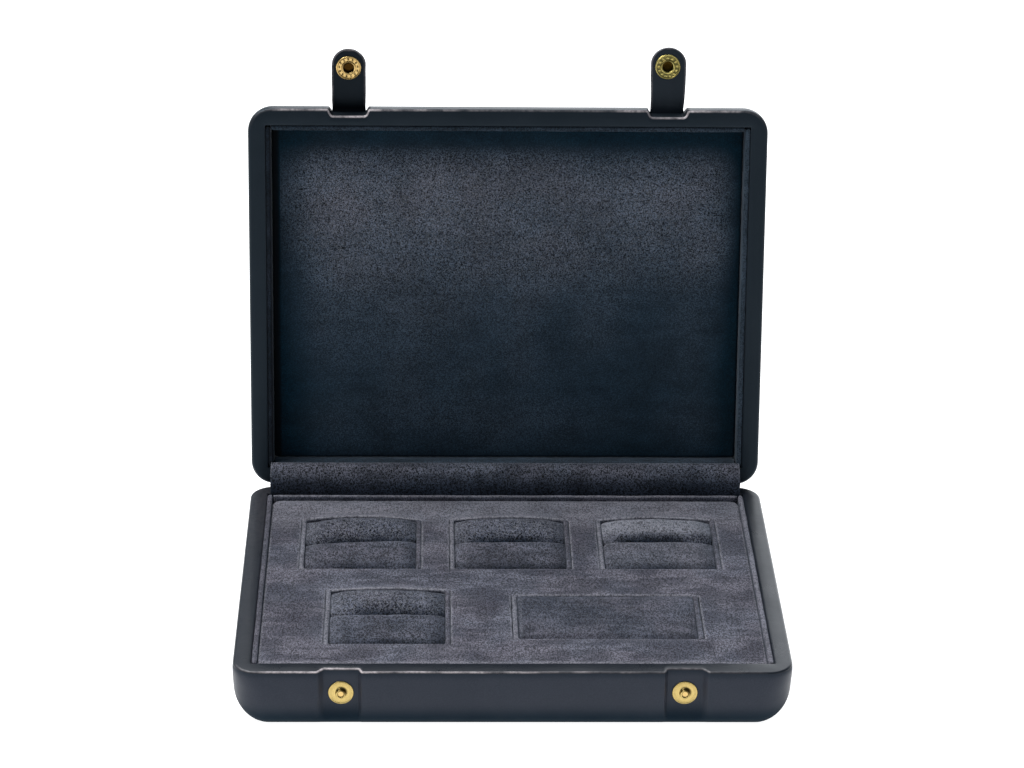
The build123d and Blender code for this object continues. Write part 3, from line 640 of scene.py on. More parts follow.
def cushion(name, box, top, zbot, edge, corner, mat, slot, body, swap, carry=None, wear=None, shade=None, step=1.0, up=1.0, bend=None, blow=0.0):
    """A closed stuffed form: a crowned top, edges rolled over and drawn in at the corners, sides and a flat underside.
    edge is how far the left and right, the front and the rear edges are rounded."""
    x0, x1, y0, y1 = box
    ex, ef, er = edge
    xs, ys = np.array(steps(x0, x1, step)), np.array(steps(y0, y1, step))
    X, Y = np.meshgrid(xs, ys, indexing="ij")
    nx, ny = len(xs), len(ys)
    for sx in (-1, 1):                               # squeeze the square corners into their arcs
        for sy in (-1, 1):
            cx, cy = (x1 - corner if sx > 0 else x0 + corner), (y1 - corner if sy > 0 else y0 + corner)
            u, v = (X - cx) * sx / corner, (Y - cy) * sy / corner
            inside = (u > 0) & (v > 0)
            uu, vv = np.where(inside, u, 0), np.where(inside, v, 0)
            X = np.where(inside, cx + sx * corner * uu * np.sqrt(1 - vv * vv / 2), X)
            Y = np.where(inside, cy + sy * corner * vv * np.sqrt(1 - uu * uu / 2), Y)
    reach = max(ex, ef, er)
    near = 1 - np.clip(rounded_distance(X, Y, x0, x1, y0, y1, corner) / corner, 0, 1)     # for the corners
    Z = top(X, Y)
    for dist, r in ((np.minimum(X - x0, x1 - X), ex), (Y - y0, ef), (y1 - Y, er)):
        t = np.clip(dist / r, 0, 1)
        Z = Z - up * r * (1 - np.sqrt(np.clip(1 - (1 - t) ** 2, 0, 1)))
    both = ((X < x0 + corner) | (X > x1 - corner)) & ((Y < y0 + corner) | (Y > y1 - corner))
    Z = Z - up * np.where(both, 0.25 * reach * near ** 3, 0)
    verts = [np.column_stack([X.ravel(), Y.ravel(), Z.ravel()])]
    faces = [(i * ny + j, (i + 1) * ny + j, (i + 1) * ny + j + 1, i * ny + j + 1) for i in range(nx - 1) for j in range(ny - 1)]
    rimidx = [i * ny for i in range(nx)] + [(nx - 1) * ny + j for j in range(1, ny)] + \
             [i * ny + ny - 1 for i in range(nx - 2, -1, -1)] + [j for j in range(ny - 2, 0, -1)]
    rim = verts[0][rimidx]
    n = len(rim)
    levels = (0.15, 0.4, 0.7, 1.0)
    first = len(verts[0])
    for k, s in enumerate(levels):
        r = rim.copy()
        r[:, 2] = rim[:, 2] + (zbot - rim[:, 2]) * s
        verts.append(r)
    prev = list(rimidx)
    for k in range(len(levels)):
        cur = [first + k * n + j for j in range(n)]
        faces += [(prev[j], prev[(j + 1) % n], cur[(j + 1) % n], cur[j]) for j in range(n)]
        prev = cur
    faces.append(tuple(prev))
    v = np.concatenate(verts)
    w = np.zeros(len(v))
    s = np.zeros(len(v))
    if wear is not None:
        w[: nx * ny] = wear(v[: nx * ny, 0], v[: nx * ny, 1])
    if shade is not None:
        s[: nx * ny] = shade(v[: nx * ny, 0], v[: nx * ny, 1])
    # painted shade on the sides and underside
    s[first:] = 0.5
    if bend is not None:
        v = bend(v)
    if blow:
        free = np.arange(len(v)) < nx * ny
        free[rimidx] = False
        v = blown(v, faces, free, blow)
    if carry is not None:
        v = carry(v)
    ob = make(name, v, faces, mat, slot, body, swap, wear=w, shade=s)
    return ob


def blown(v, faces, free, cap, frames=16):
    """The cover blown up a little by the cloth solver at ten times life size. Only the free points move, and no
    point further than cap."""
    mid = v.mean(0)
    me = bpy.data.meshes.new("blow")
    me.from_pydata(((v - mid) * 0.01).tolist(), [], [tuple(int(i) for i in f) for f in faces])
    ob = bpy.data.objects.new("blow", me)
    scene = bpy.context.scene
    scene.collection.objects.link(ob)
    ob.vertex_groups.new(name="held").add([int(i) for i in np.nonzero(~free)[0]], 1.0, "REPLACE")
    mod = ob.modifiers.new("blow", "CLOTH")
    c = mod.settings
    c.quality, c.mass = 6, 0.3
    c.tension_stiffness, c.compression_stiffness, c.shear_stiffness, c.bending_stiffness = 15.0, 15.0, 5.0, 0.5
    c.use_pressure, c.uniform_pressure_force = True, 4.0
    c.vertex_group_mass = "held"
    c.effector_weights.gravity = 0.0
    mod.point_cache.frame_start, mod.point_cache.frame_end = 1, frames
    for f in range(1, frames + 1):
        scene.frame_set(f)
    ev = ob.evaluated_get(bpy.context.evaluated_depsgraph_get())
    out = np.empty(len(v) * 3, np.float32)
    ev.data.vertices.foreach_get("co", out)
    move = (out.reshape(-1, 3) * 100.0 + mid - v) * (0.35, 0.35, 1.0)
    move[~free] = 0.0
    bpy.data.objects.remove(ob)
    bpy.data.meshes.remove(me)
    scene.frame_set(1)
    far = np.linalg.norm(move, axis=1)
    return v + move * (cap * np.tanh(far / cap) / np.maximum(far, 1e-9))[:, None]


# ------------------------------------------------------------------ liners
def strip(name, a, b, u, v, thick, height, mat, slot, body, swap, edge_r=0.6, n=110, seed=0.0, carry=None, amp=0.10, dark=0.0, inner=None):
    """A suede wrapped board from a to b: u is its thickness direction, v points from its foot to its visible edge."""
    a, b, u, v = (np.asarray(q, float) for q in (a, b, u, v))
    prof = [(-thick / 2, 0.0), (-thick / 2, height * 0.5), (-thick / 2, height - edge_r * 2.2)]
    wear = [0.0, 0.0, 0.05]
    for k in range(9):
        t = math.radians(180 - 22.5 * k)
        prof.append(((thick / 2) * math.copysign(abs(math.cos(t)) ** 0.6, math.cos(t)), height - edge_r + edge_r * math.sin(t)))
        wear.append(0.12 + 0.34 * math.sin(t) ** 2)
    prof += [(thick / 2, height - edge_r * 2.2), (thick / 2, height * 0.5), (thick / 2, 0.0)]
    wear += [0.05, 0.0, 0.0]
    m = len(prof)
    rings, ws = [], []
    for i in range(n + 1):
        t = i / n
        c = a + (b - a) * t
        end = min(t, 1 - t) * np.linalg.norm(b - a)
        s = 1.0 if end > 0.8 else 0.62 + 0.38 * math.sin(math.pi / 2 * min(end / 0.8, 1))
        pts = np.array([c + u * (p * s) + v * q for p, q in prof])
        k = np.array([q / height for p, q in prof])
        du = wob(pts, 7.0, seed) * amp + wob(pts, 1.6, seed + 4) * amp * 0.45
        dv = wob(pts, 9.0, seed + 8) * amp + wob(pts, 1.3, seed + 2) * amp * 0.5
        pts = pts + np.outer(du * smooth((k - 0.6) / 0.4), u) + np.outer(dv * smooth((k - 0.8) / 0.2), v)
        rings.append(pts)
        ws += wear
    vts = np.concatenate(rings)
    if carry is not None:
        vts = carry(vts)
    # painted shade: dark darkens the whole strip, inner the face towards +u below its top edge, near black above 1
    tone = np.array([dark if inner is None or p < 0.30 * thick or q > height - 0.25 * edge_r else inner for p, q in prof])
    return make(name, vts, loft_faces(n + 1, m, cap0=True, cap1=True), mat, slot, body, swap,
                wear=np.array(ws) * (1 - dark) * (np.tile(tone, n + 1) <= 1), shade=np.tile(tone, n + 1))


# painted shade on the base's left liner
strip("base_liner_left_suede", (-96.95, -71.6, 4), (-96.95, 70.8, 4), (1, 0, 0), (0, 0, 1), 2.0, 21.9, "suede", "suede", "base", ("base_liner_left",), seed=1, dark=0.36)
strip("base_liner_right_suede", (96.95, -71.6, 4), (96.95, 70.8, 4), (1, 0, 0), (0, 0, 1), 2.0, 21.9, "suede", "suede", "base", ("base_liner_right",), seed=2)
strip("base_liner_back_suede", (-95.6, 70.15, 4), (95.6, 70.15, 4), (0, 1, 0), (0, 0, 1), 1.9, 21.9, "suede", "suede", "base", ("base_liner_back",), seed=3, n=160)
strip("base_liner_front_suede", (-95.6, -70.95, 4), (95.6, -70.95, 4), (0, 1, 0), (0, 0, 1), 1.9, 20.4, "suede", "suede", "base", ("base_liner_front",), seed=4, n=160)
# painted shade: the lid's left liner dark, its face towards the pad near black
for side, sx in (("left", -1), ("right", 1)):
    strip("lid_liner_" + side + "_suede", (sx * 96.95, -71.4, 9.6), (sx * 96.95, 71.4, 9.6), (1, 0, 0), (0, 0, -1), 1.95, 9.3,
          "suede_wall", "suede_lid", "lid", ("lid_liner_" + side,), seed=5 + sx, carry=lid_pts, dark=0.84 if sx < 0 else 0.0, inner=1.9 if sx < 0 else None)
# painted shade on the lid's front liner
strip("lid_liner_front_suede", (-95.6, -70.95, 9.6), (95.6, -70.95, 9.6), (0, 1, 0), (0, 0, -1), 1.95, 9.2,
      "suede_wall", "suede_lid", "lid", ("lid_liner_front",), seed=9, n=170, carry=lid_pts, amp=0.16, dark=0.35)
strip("lid_liner_hinge_suede", (-95.6, 70.95, 9.6), (95.6, 70.95, 9.6), (0, 1, 0), (0, 0, -1), 1.95, 8.3,
      "suede_wall", "suede_lid", "lid", ("lid_liner_hinge",), seed=11, n=170, carry=lid_pts)


# ------------------------------------------------------------------ insert cover
def insert_cover():
    x0, x1, y0, y1 = -95.8, 95.8, -69.8, 68.6
    holes = [(cx - 24.26, cx + 24.26, cy - 21.2, cy + 21.2) for cx, cy in CELLS.values()]
    holes.append((PAD[0] - 36.6, PAD[0] + 36.6, PAD[1] - 17.0, PAD[1] + 17.0))
    fine = (0.0, 0.14, 0.34, 0.62, 1.0, 1.6)
    xs = np.array(steps(x0, x1, 1.3, fine, sorted({h[0] for h in holes} | {h[1] for h in holes})))
    ys = np.array(steps(y0, y1, 1.3, fine, sorted({h[2] for h in holes} | {h[3] for h in holes})))
    X, Y = np.meshgrid(xs, ys, indexing="ij")
    nx, ny = X.shape
    out = rounded_distance(X, Y, x0, x1, y0, y1, 0.9)
    dh = np.full(X.shape, 1e3)
    for h in holes:
        dh = np.minimum(dh, np.maximum(-rounded_distance(X, Y, *h, 0.01), 0))
    d = np.minimum(np.minimum(X - x0, x1 - X), np.minimum(3.0 * (Y - y0) + 0.4, y1 - Y))
    d = np.minimum(d, dh)
    t = np.clip(d / 0.8, 0, 1)
    P = np.column_stack([X.ravel(), Y.ravel(), np.zeros(X.size)])
    puff = (0.13 * wob(P, 16.0, 4.0) + 0.07 * wob(P, 6.0, 7.0)).reshape(X.shape)
    swell = 0.16 * smooth(d / 3.0) * (1 - smooth((d - 3.0) / 6.0))
    Z = INS - 0.05 + puff * smooth(d / 1.5) + swell - 0.42 * (1 - t) ** 2.3
    lip = np.zeros(X.shape)
    for (h0, h1, h2, h3), up in zip(holes, (1.95, 1.75, 1.65, 1.3, 0.45)):     # the rolls push the edge behind them up
        u = (X - (h0 + h1) / 2) / ((h1 - h0) / 2)
        on = np.clip(1 - (u * u if up != 0.45 else u ** 8), 0, 1)
        Z += up * on * np.exp(-(np.maximum(Y - h3, 0) / 3.2) ** 2) * (Y > h3 - 0.01)
        # painted highlight on the lifted edge behind each roll and behind the pad
        lip = np.maximum(lip, (0.95 if up != 0.45 else 0.6) * smooth((1.05 - np.abs(u)) / 0.1) * np.exp(-((Y - h3 - 0.35) / 0.95) ** 2) * (Y > h3 - 0.01))
    near = 1 - smooth(d / 1.6)
    jx = (0.16 * wob(P, 5.0, 21.0) + 0.08 * wob(P, 1.7, 23.0)).reshape(X.shape) * near
    jy = (0.16 * wob(P, 5.0, 31.0) + 0.08 * wob(P, 1.7, 33.0)).reshape(X.shape) * near
    keepx = (np.abs(X - x0) < 1e-6) | (np.abs(X - x1) < 1e-6)
    keepy = (np.abs(Y - y0) < 1e-6) | (np.abs(Y - y1) < 1e-6)
    X2, Y2 = X + np.where(keepx, 0, jx), Y + np.where(keepy, 0, jy)
    c = 4.5                                          # the back corners are rounded
    for sx in (-1, 1):
        cx, cy = sx * (x1 - c), y1 - c
        u, v = (X - cx) * sx / c, (Y - cy) / c
        ins = (u > 0) & (v > 0)
        uu, vv = np.where(ins, u, 0), np.where(ins, v, 0)
        X2 = np.where(ins, cx + sx * c * uu * np.sqrt(1 - vv * vv / 2), X2)
        Y2 = np.where(ins, cy + c * vv * np.sqrt(1 - uu * uu / 2), Y2)
    v = np.column_stack([X2.ravel(), Y2.ravel(), Z.ravel()])
    idx = np.arange(nx * ny).reshape(nx, ny)
    keep = np.ones((nx - 1, ny - 1), bool)
    mx, my = (xs[:-1] + xs[1:]) / 2, (ys[:-1] + ys[1:]) / 2
    for h in holes:
        keep &= ~(((mx > h[0]) & (mx < h[1]))[:, None] & ((my > h[2]) & (my < h[3]))[None, :])
    faces = [(idx[i, j], idx[i + 1, j], idx[i + 1, j + 1], idx[i, j + 1]) for i in range(nx - 1) for j in range(ny - 1) if keep[i, j]]
    edges = {}
    for f in faces:
        for k in range(4):
            e = (f[k], f[(k + 1) % 4])
            edges[tuple(sorted(e))] = edges.get(tuple(sorted(e)), 0) + 1
    border = {q for e, c2 in edges.items() if c2 == 1 for q in e}
    n = len(v)
    under = v.copy()
    under[:, 2] = INS - 1.5
    vv = np.concatenate([v, under])
    allf = list(faces)
    for f in faces:
        allf.append(tuple(q + n for q in reversed(f)))
        for k in range(4):
            a, b = f[k], f[(k + 1) % 4]
            if edges[tuple(sorted((a, b)))] == 1:
                allf.append((b, a, a + n, b + n))
    used = sorted({q for f in allf for q in f})
    remap = {q: i for i, q in enumerate(used)}
    nap_tone_and_painted_light = (0.06 + 0.38 * smooth((Y - 38.0) / 18.0) + 0.55 * np.exp(-((Y + 68.9) / 0.8) ** 2) + 0.10 * wob(P, 13.0, 240.0).reshape(X.shape)).clip(0, 1)      # lighter towards the back, painted light; a light line along the front edge; a random nap tone
    wear = np.concatenate([np.maximum(np.maximum(np.exp(-((d.ravel() - 0.35) / 0.45) ** 2) * 0.60, lip.ravel()), nap_tone_and_painted_light.ravel()), np.zeros(n)])[used]
    # painted shade: darker towards the right, and on the underside and cut sides
    shade = np.concatenate([0.11 * smooth((X.ravel() - 82.0) / 7.0), np.full(n, 0.9)])[used]
    return make("insert_cover_suede", vv[used], [tuple(remap[q] for q in f) for f in allf], "suede", "suede", "base",
                ("insert_cover",), wear=wear, shade=shade)


insert_cover()


# ------------------------------------------------------------------ cell frames and pad frame
def frame_ring(name, cx, cy, hw, hd, th, z0, ztop, zlow, slot, swap, seed):
    """A thin suede wrapped sleeve; its front and back walls stay low, under the cover's folded edge."""
    path = []
    r = 1.3
    for sx, sy, a0 in ((1, -1, -90), (1, 1, 0), (-1, 1, 90), (-1, -1, 180)):
        for k in range(7):
            a = math.radians(a0 + 15 * k)
            path.append((cx + sx * (hw - r) + r * math.cos(a), cy + sy * (hd - r) + r * math.sin(a), math.cos(a), math.sin(a)))
        nxt = {(1, -1): (1, 1), (1, 1): (-1, 1), (-1, 1): (-1, -1), (-1, -1): (1, -1)}[(sx, sy)]
        p0 = path[-1]
        a = math.radians(a0 + 90)
        q = (cx + nxt[0] * (hw - r) + r * math.cos(a), cy + nxt[1] * (hd - r) + r * math.sin(a))
        m = int(max(abs(q[0] - p0[0]), abs(q[1] - p0[1])) / 0.9)
        for i in range(1, m):
            t = i / m
            path.append((p0[0] + (q[0] - p0[0]) * t, p0[1] + (q[1] - p0[1]) * t, p0[2], p0[3]))
    prof = [(th / 2, 0.0), (th / 2, 0.6)]
    for k in range(9):
        a = math.radians(22.5 * k)
        prof.append((th / 2 * math.cos(a), 1.0 + 0.0 * k))
    n = len(path)
    P = np.array(path)
    side = smooth((np.abs(P[:, 0] - cx) - (hw - 2.6)) / 1.6)          # 1 along left and right
    ztops = zlow + (ztop - zlow) * side
    rings, wears = [], []
    sect = [(0.5, z0, 0), (0.5, None, -1.3), (0.5, None, -0.7)] + \
           [(0.5 * math.cos(math.radians(a)), None, -0.7 + 0.7 * math.sin(math.radians(a))) for a in (25, 50, 75, 90, 105, 130, 155, 180)] + \
           [(-0.5, None, -1.3), (-0.5, z0, 0)]
    for off, z, dz in sect:
        pts = np.column_stack([P[:, 0] + P[:, 2] * off * th, P[:, 1] + P[:, 3] * off * th,
                               np.full(n, z) if z is not None else ztops + dz])
        if z is None:
            jig = 0.14 * wob(pts, 6.0, seed) + 0.07 * wob(pts, 1.5, seed + 3)
            pts[:, 0] += jig * P[:, 2]
            pts[:, 1] += jig * P[:, 3]
            pts[:, 2] += 0.10 * wob(pts, 5.0, seed + 6)
        rings.append(pts)
        wears.append(np.full(n, 0.0 if z is not None or dz < -1 else 0.30 + 0.30 * max(0.0, (0.7 + dz) / 0.7)))
    v = np.concatenate(rings)
    # painted shade: each sleeve's right side darker, its lighter top edge mostly taken away there
    right = np.tile(smooth((P[:, 0] - cx - hw + 2.0) / 1.0), len(rings))
    return make(name, v, loft_faces(len(rings), n, wrap=True), "suede", slot, "base", swap, wear=np.concatenate(wears) * (1 - 0.75 * right),
                shade=0.12 * right)


for i, (key, (cx, cy)) in enumerate(CELLS.items()):
    frame_ring("cell_sleeve_" + key, cx, cy, 23.2, 22.0, 1.9, 9.0, 24.65, 23.3, "suede", ("cell_frame_" + key,), 40 + i)
frame_ring("pad_sleeve", PAD[0], PAD[1], 35.35, 17.7, 2.0, 18.0, 24.6, 23.2, "suede", ("pad_frame",), 50)


# ------------------------------------------------------------------ ring rolls, blank pad, lid panel
ROLLS = {   # per cell: arch height, where its crest lies, slit slant, where the slit gapes (from, to), how dark the painted shade in the slit is, how much lighter the back of its rear roll is
    "a": (2.2, 0.15, 0.045, (-0.62, 0.75), 0.64, 0.02), "b": (2.0, 0.0, 0.004, (-0.60, 0.55), 0.90, 0.06),
    "c": (1.9, -0.10, 0.0, (-0.66, 0.52), 0.85, 0.60), "d": (1.6, -0.12, 0.004, (-0.52, 0.56), 0.66, 0.09),
}
for i, (key, (cx, cy)) in enumerate(CELLS.items()):
    arch, crest, slant, (g0, g1), slit_darkness, back_lighter = ROLLS[key]
    slit = cy + 1.75

    def gap(X, cx=cx, g0=g0, g1=g1):
        """1 where the slit stands open, 0 at its closed ends."""
        u = (X - cx) / 21.9
        return smooth((u - g0 + 0.2) / 0.4) * smooth((g1 + 0.2 - u) / 0.4)

    def rear(X, Y, cx=cx, cy=cy, arch=arch, crest=crest, slit=slit, gap=gap, seed=60.0 + i):
        u = (X - cx) / 21.9
        t = np.clip((Y - slit) / 18.9, 0, 1)
        top = INS - 0.15 + arch * (1 - np.abs(np.clip(u - crest * (1 - u * u), -1, 1)) ** 3.0) * smooth(0.05 + t * 1.15)
        front = (1.2 + 2.4 * gap(X)) * np.clip(1 - t / 0.45, 0, 1) ** 1.8
        P = np.column_stack([X.ravel(), Y.ravel(), np.zeros(X.size)])
        return top - front + (0.24 * wob(P, 9.0, seed) + 0.10 * wob(P, 3.5, seed + 5)).reshape(X.shape)

    def front(X, Y, cx=cx, cy=cy, slit=slit, slant=slant, seed=80.0 + i):
        u = (X - cx) / 21.9
        t = np.clip((slit - Y) / 22.1, 0, 1)
        top = INS - 0.2 + 0.85 * (1 - np.abs(u) ** 3) * np.cos(t * 1.35) - 1.3 * t ** 1.8 + slant * 9.0 * (u - 0.3) * (1 - t) ** 2
        P = np.column_stack([X.ravel(), Y.ravel(), np.zeros(X.size)])
        return top + (0.20 * wob(P, 10.0, seed) + 0.08 * wob(P, 3.5, seed + 5)).reshape(X.shape)

    def rear_shade(x, y, cx=cx, cy=cy, gap=gap, slit_darkness=slit_darkness, key=key):
        # painted shade: the right end darker, a ragged dark band down into the open slit and a line along it; on cell d
        # it fades out at the closed left end
        right = 0.42 * smooth((x - cx - 13.0) / 8.0)
        ragged = 1.5 * wob(np.column_stack([x, y * 0.6, np.zeros(len(x))]), 1.9, 230.0) + 1.2 * wob(np.column_stack([x, y, np.zeros(len(x))]), 6.5, 234.0)
        low = slit_darkness * gap(x) * smooth((cy + 9.1 + ragged - y) / 4.6)
        closed = 0.85 * smooth((cx - 11.0 - x) / 4.0) if key == "d" else 0.0
        return np.clip(right + (low + 0.30 * smooth((cy + 7.0 - y) / 3.0)) * (1 - closed), 0, 1)

    def bend(v, cx=cx, slit=slit, slant=slant):
        """The slit of some cells lies at a slant."""
        v[:, 1] += slant * (v[:, 0] - cx) * np.clip(1 - np.abs(v[:, 1] - slit) / 18.0, 0, 1)
        return v

    def front_shade(x, y, cx=cx, cy=cy):
        # painted shade: the right end darker, and the front part darker towards the cover's edge, most in the middle
        right = 0.50 * smooth((x - cx - 14.0) / 7.0)
        mid = 0.45 + 0.55 * np.exp(-((x - cx + 2.0) / 13.0) ** 2)
        return np.clip(right + 0.85 * mid * smooth((cy - 13.6 - y) / 5.4), 0, 1)

    cushion("ring_roll_rear_" + key + "_suede", (cx - 22.15, cx + 22.15, cy + 1.85, cy + 20.95), rear, 9.0, (0.5, 2.6, 2.5), 1.4 if key != "c" else 2.6,
            "suede_nap", "suede_roll", "base", ("ring_roll_rear_" + key,),
            # lighter towards the back by the table's last column, a painted highlight at the left end, a light line
            # along the rear edge
            wear=lambda x, y, cx=cx, cy=cy, back_lighter=back_lighter: np.maximum(np.maximum(back_lighter * smooth((y - cy - 6.0) / 5.0), 0.16 * smooth((cx - 14.5 - x) / 5.0)),
                                                              0.22 * np.exp(-((y - cy - 19.6) / 0.9) ** 2)),
            shade=rear_shade, step=0.9, bend=bend, blow=0.34)
    cushion("ring_roll_front_" + key + "_suede", (cx - 22.15, cx + 22.15, cy - 20.9, cy + 1.55), front, 9.0, (0.5, 1.6, 1.3), 1.8 if key != "c" else 3.6,
            "suede_roll", "suede_roll", "base", ("ring_roll_front_" + key,),
            # painted highlight along the slit's lip and at the left end; cell c lighter all over
            wear=lambda x, y, cx=cx, cy=cy, key=key: np.maximum(np.exp(-((y - cy - 0.9) / 0.62) ** 2), np.maximum(0.22 if key == "c" else 0.03, 0.13 * smooth((cx - 13.5 - x) / 6.0))),
            shade=front_shade, step=0.9, bend=bend, blow=0.30)


def pad_top(X, Y):
    u, v = (X - PAD[0]) / 34.25, (Y - PAD[1]) / 16.6
    P = np.column_stack([X.ravel(), Y.ravel(), np.zeros(X.size)])
    return 24.0 + 0.95 * smooth((v + 0.7) / 1.6) + 0.30 * (1 - np.abs(u) ** 4) * (1 - np.abs(v) ** 3) + (0.12 * wob(P, 12.0, 91.0) + 0.05 * wob(P, 4.0, 93.0)).reshape(X.shape)


cushion("blank_pad_suede", (PAD[0] - 34.25, PAD[0] + 34.25, PAD[1] - 16.6, PAD[1] + 16.68), pad_top, 18.0, (0.7, 0.9, 0.4), 1.0,
        # painted highlight along the left edge; painted shade at the front, where it dips under the cover
        "suede_pad", "suede_roll", "base", ("blank_pad",), wear=lambda x, y: 0.22 * np.exp(-((x - PAD[0] + 33.2) / 0.6) ** 2),
        shade=lambda x, y: 0.42 * smooth((PAD[1] - 12.0 - y) / 4.4), blow=0.25)


def panel_top(X, Y):
    u, v = X / 95.4, Y / 69.4
    P = np.column_stack([X.ravel(), Y.ravel(), np.zeros(X.size)])
    return 8.75 - 0.55 * (1 - np.abs(u) ** 6) * (1 - np.abs(v) ** 6) - (0.22 * wob(P, 38.0, 95.0) + 0.08 * wob(P, 12.0, 97.0)).reshape(X.shape)


def panel_shade(x, y):
    """Painted shade on the lid's pad: dark along the edges where the walls shade it, and darker low down and to the
    right, partly the lie of the nap.
    """
    m = np.interp(x, (-95.4, -92.4, -91, -88.5, -84, -78, -70, -40, 10, 25, 45, 72, 80, 86, 90, 93, 95.4),
                  (0.42, 0.50, 0.56, 0.62, 0.74, 0.98, 1.10, 1.10, 1.03, 0.97, 0.90, 0.90, 0.89, 0.78, 0.60, 0.40, 0.22))
    s = np.interp(y, (-69, -63.5, -59.5, -54, -44, -22, 0, 20, 40, 55, 69), (0.99, 0.95, 0.62, 0.28, 0.08, 0.27, 0.63, 0.75, 0.82, 0.77, 0.87))
    P = np.column_stack([x, y, np.zeros(len(x))])
    m = m * (1 + 0.16 * wob(P, 22.0, 201.0))
    black = 1.9 * smooth((-92.0 - x) / 1.6) + 0.9 * smooth((-68.4 - y) / 0.8)          # where no light gets in beside the wall
    return np.maximum(np.clip((1 - m * (1 - 0.80 * s)) / 0.80, 0, 1), black)


cushion("lid_panel_suede", (-95.9, 95.9, -69.85, 69.85), panel_top, 9.65, (1.0, 1.0, 1.0), 1.6, "suede_lid", "suede_lid", "lid",
        ("lid_panel",), carry=lid_pts, shade=panel_shade, step=1.8, up=-1.0)


# ------------------------------------------------------------------ bottom cover
def bottom_cover():
    def plate(X, Y):
        P = np.column_stack([X.ravel(), Y.ravel(), np.zeros(X.size)])
        return 0.0 * X + 0.04 * np.abs(wob(P, 20.0, 101.0).reshape(X.shape))
    xs, ys = np.array(steps(-92, 92, 3.0, (0, 0.2, 0.5, 1.0))), np.array(steps(-66, 66, 3.0, (0, 0.2, 0.5, 1.0)))
    X, Y = np.meshgrid(xs, ys, indexing="ij")
    d = rounded_distance(X, Y, -92, 92, -66, 66, 3.0)
    for sx in (-1, 1):
        for sy in (-1, 1):
            cx, cy = sx * 89.0, sy * 63.0
            u, v = (X - cx) * sx / 3.0, (Y - cy) * sy / 3.0
            ins = (u > 0) & (v > 0)
            uu, vv = np.where(ins, u, 0), np.where(ins, v, 0)
            X = np.where(ins, cx + sx * 3.0 * uu * np.sqrt(1 - vv * vv / 2), X)
            Y = np.where(ins, cy + sy * 3.0 * vv * np.sqrt(1 - uu * uu / 2), Y)
    d = rounded_distance(X, Y, -92, 92, -66, 66, 3.0)
    Z = plate(X, Y) + 0.5 * (1 - np.sqrt(np.clip(1 - (1 - np.clip(d / 0.6, 0, 1)) ** 2, 0, 1)))
    nx, ny = X.shape
    v = np.column_stack([X.ravel(), Y.ravel(), Z.ravel()])
    rimidx = [i * ny for i in range(nx)] + [(nx - 1) * ny + j for j in range(1, ny)] + \
             [i * ny + ny - 1 for i in range(nx - 2, -1, -1)] + [j for j in range(ny - 2, 0, -1)]
    faces = [(i * ny + j, (i + 1) * ny + j, (i + 1) * ny + j + 1, i * ny + j + 1) for i in range(nx - 1) for j in range(ny - 1)]
    up = v[rimidx].copy()
    up[:, 2] = 1.25
    n, first = len(rimidx), len(v)
    faces += [(rimidx[j], rimidx[(j + 1) % n], first + (j + 1) % n, first + j) for j in range(n)]
    faces.append(tuple(first + j for j in range(n)))
    return make("bottom_cover_suede", np.concatenate([v, up]), faces, "suede", "suede", "base", ("bottom_cover",))


bottom_cover()


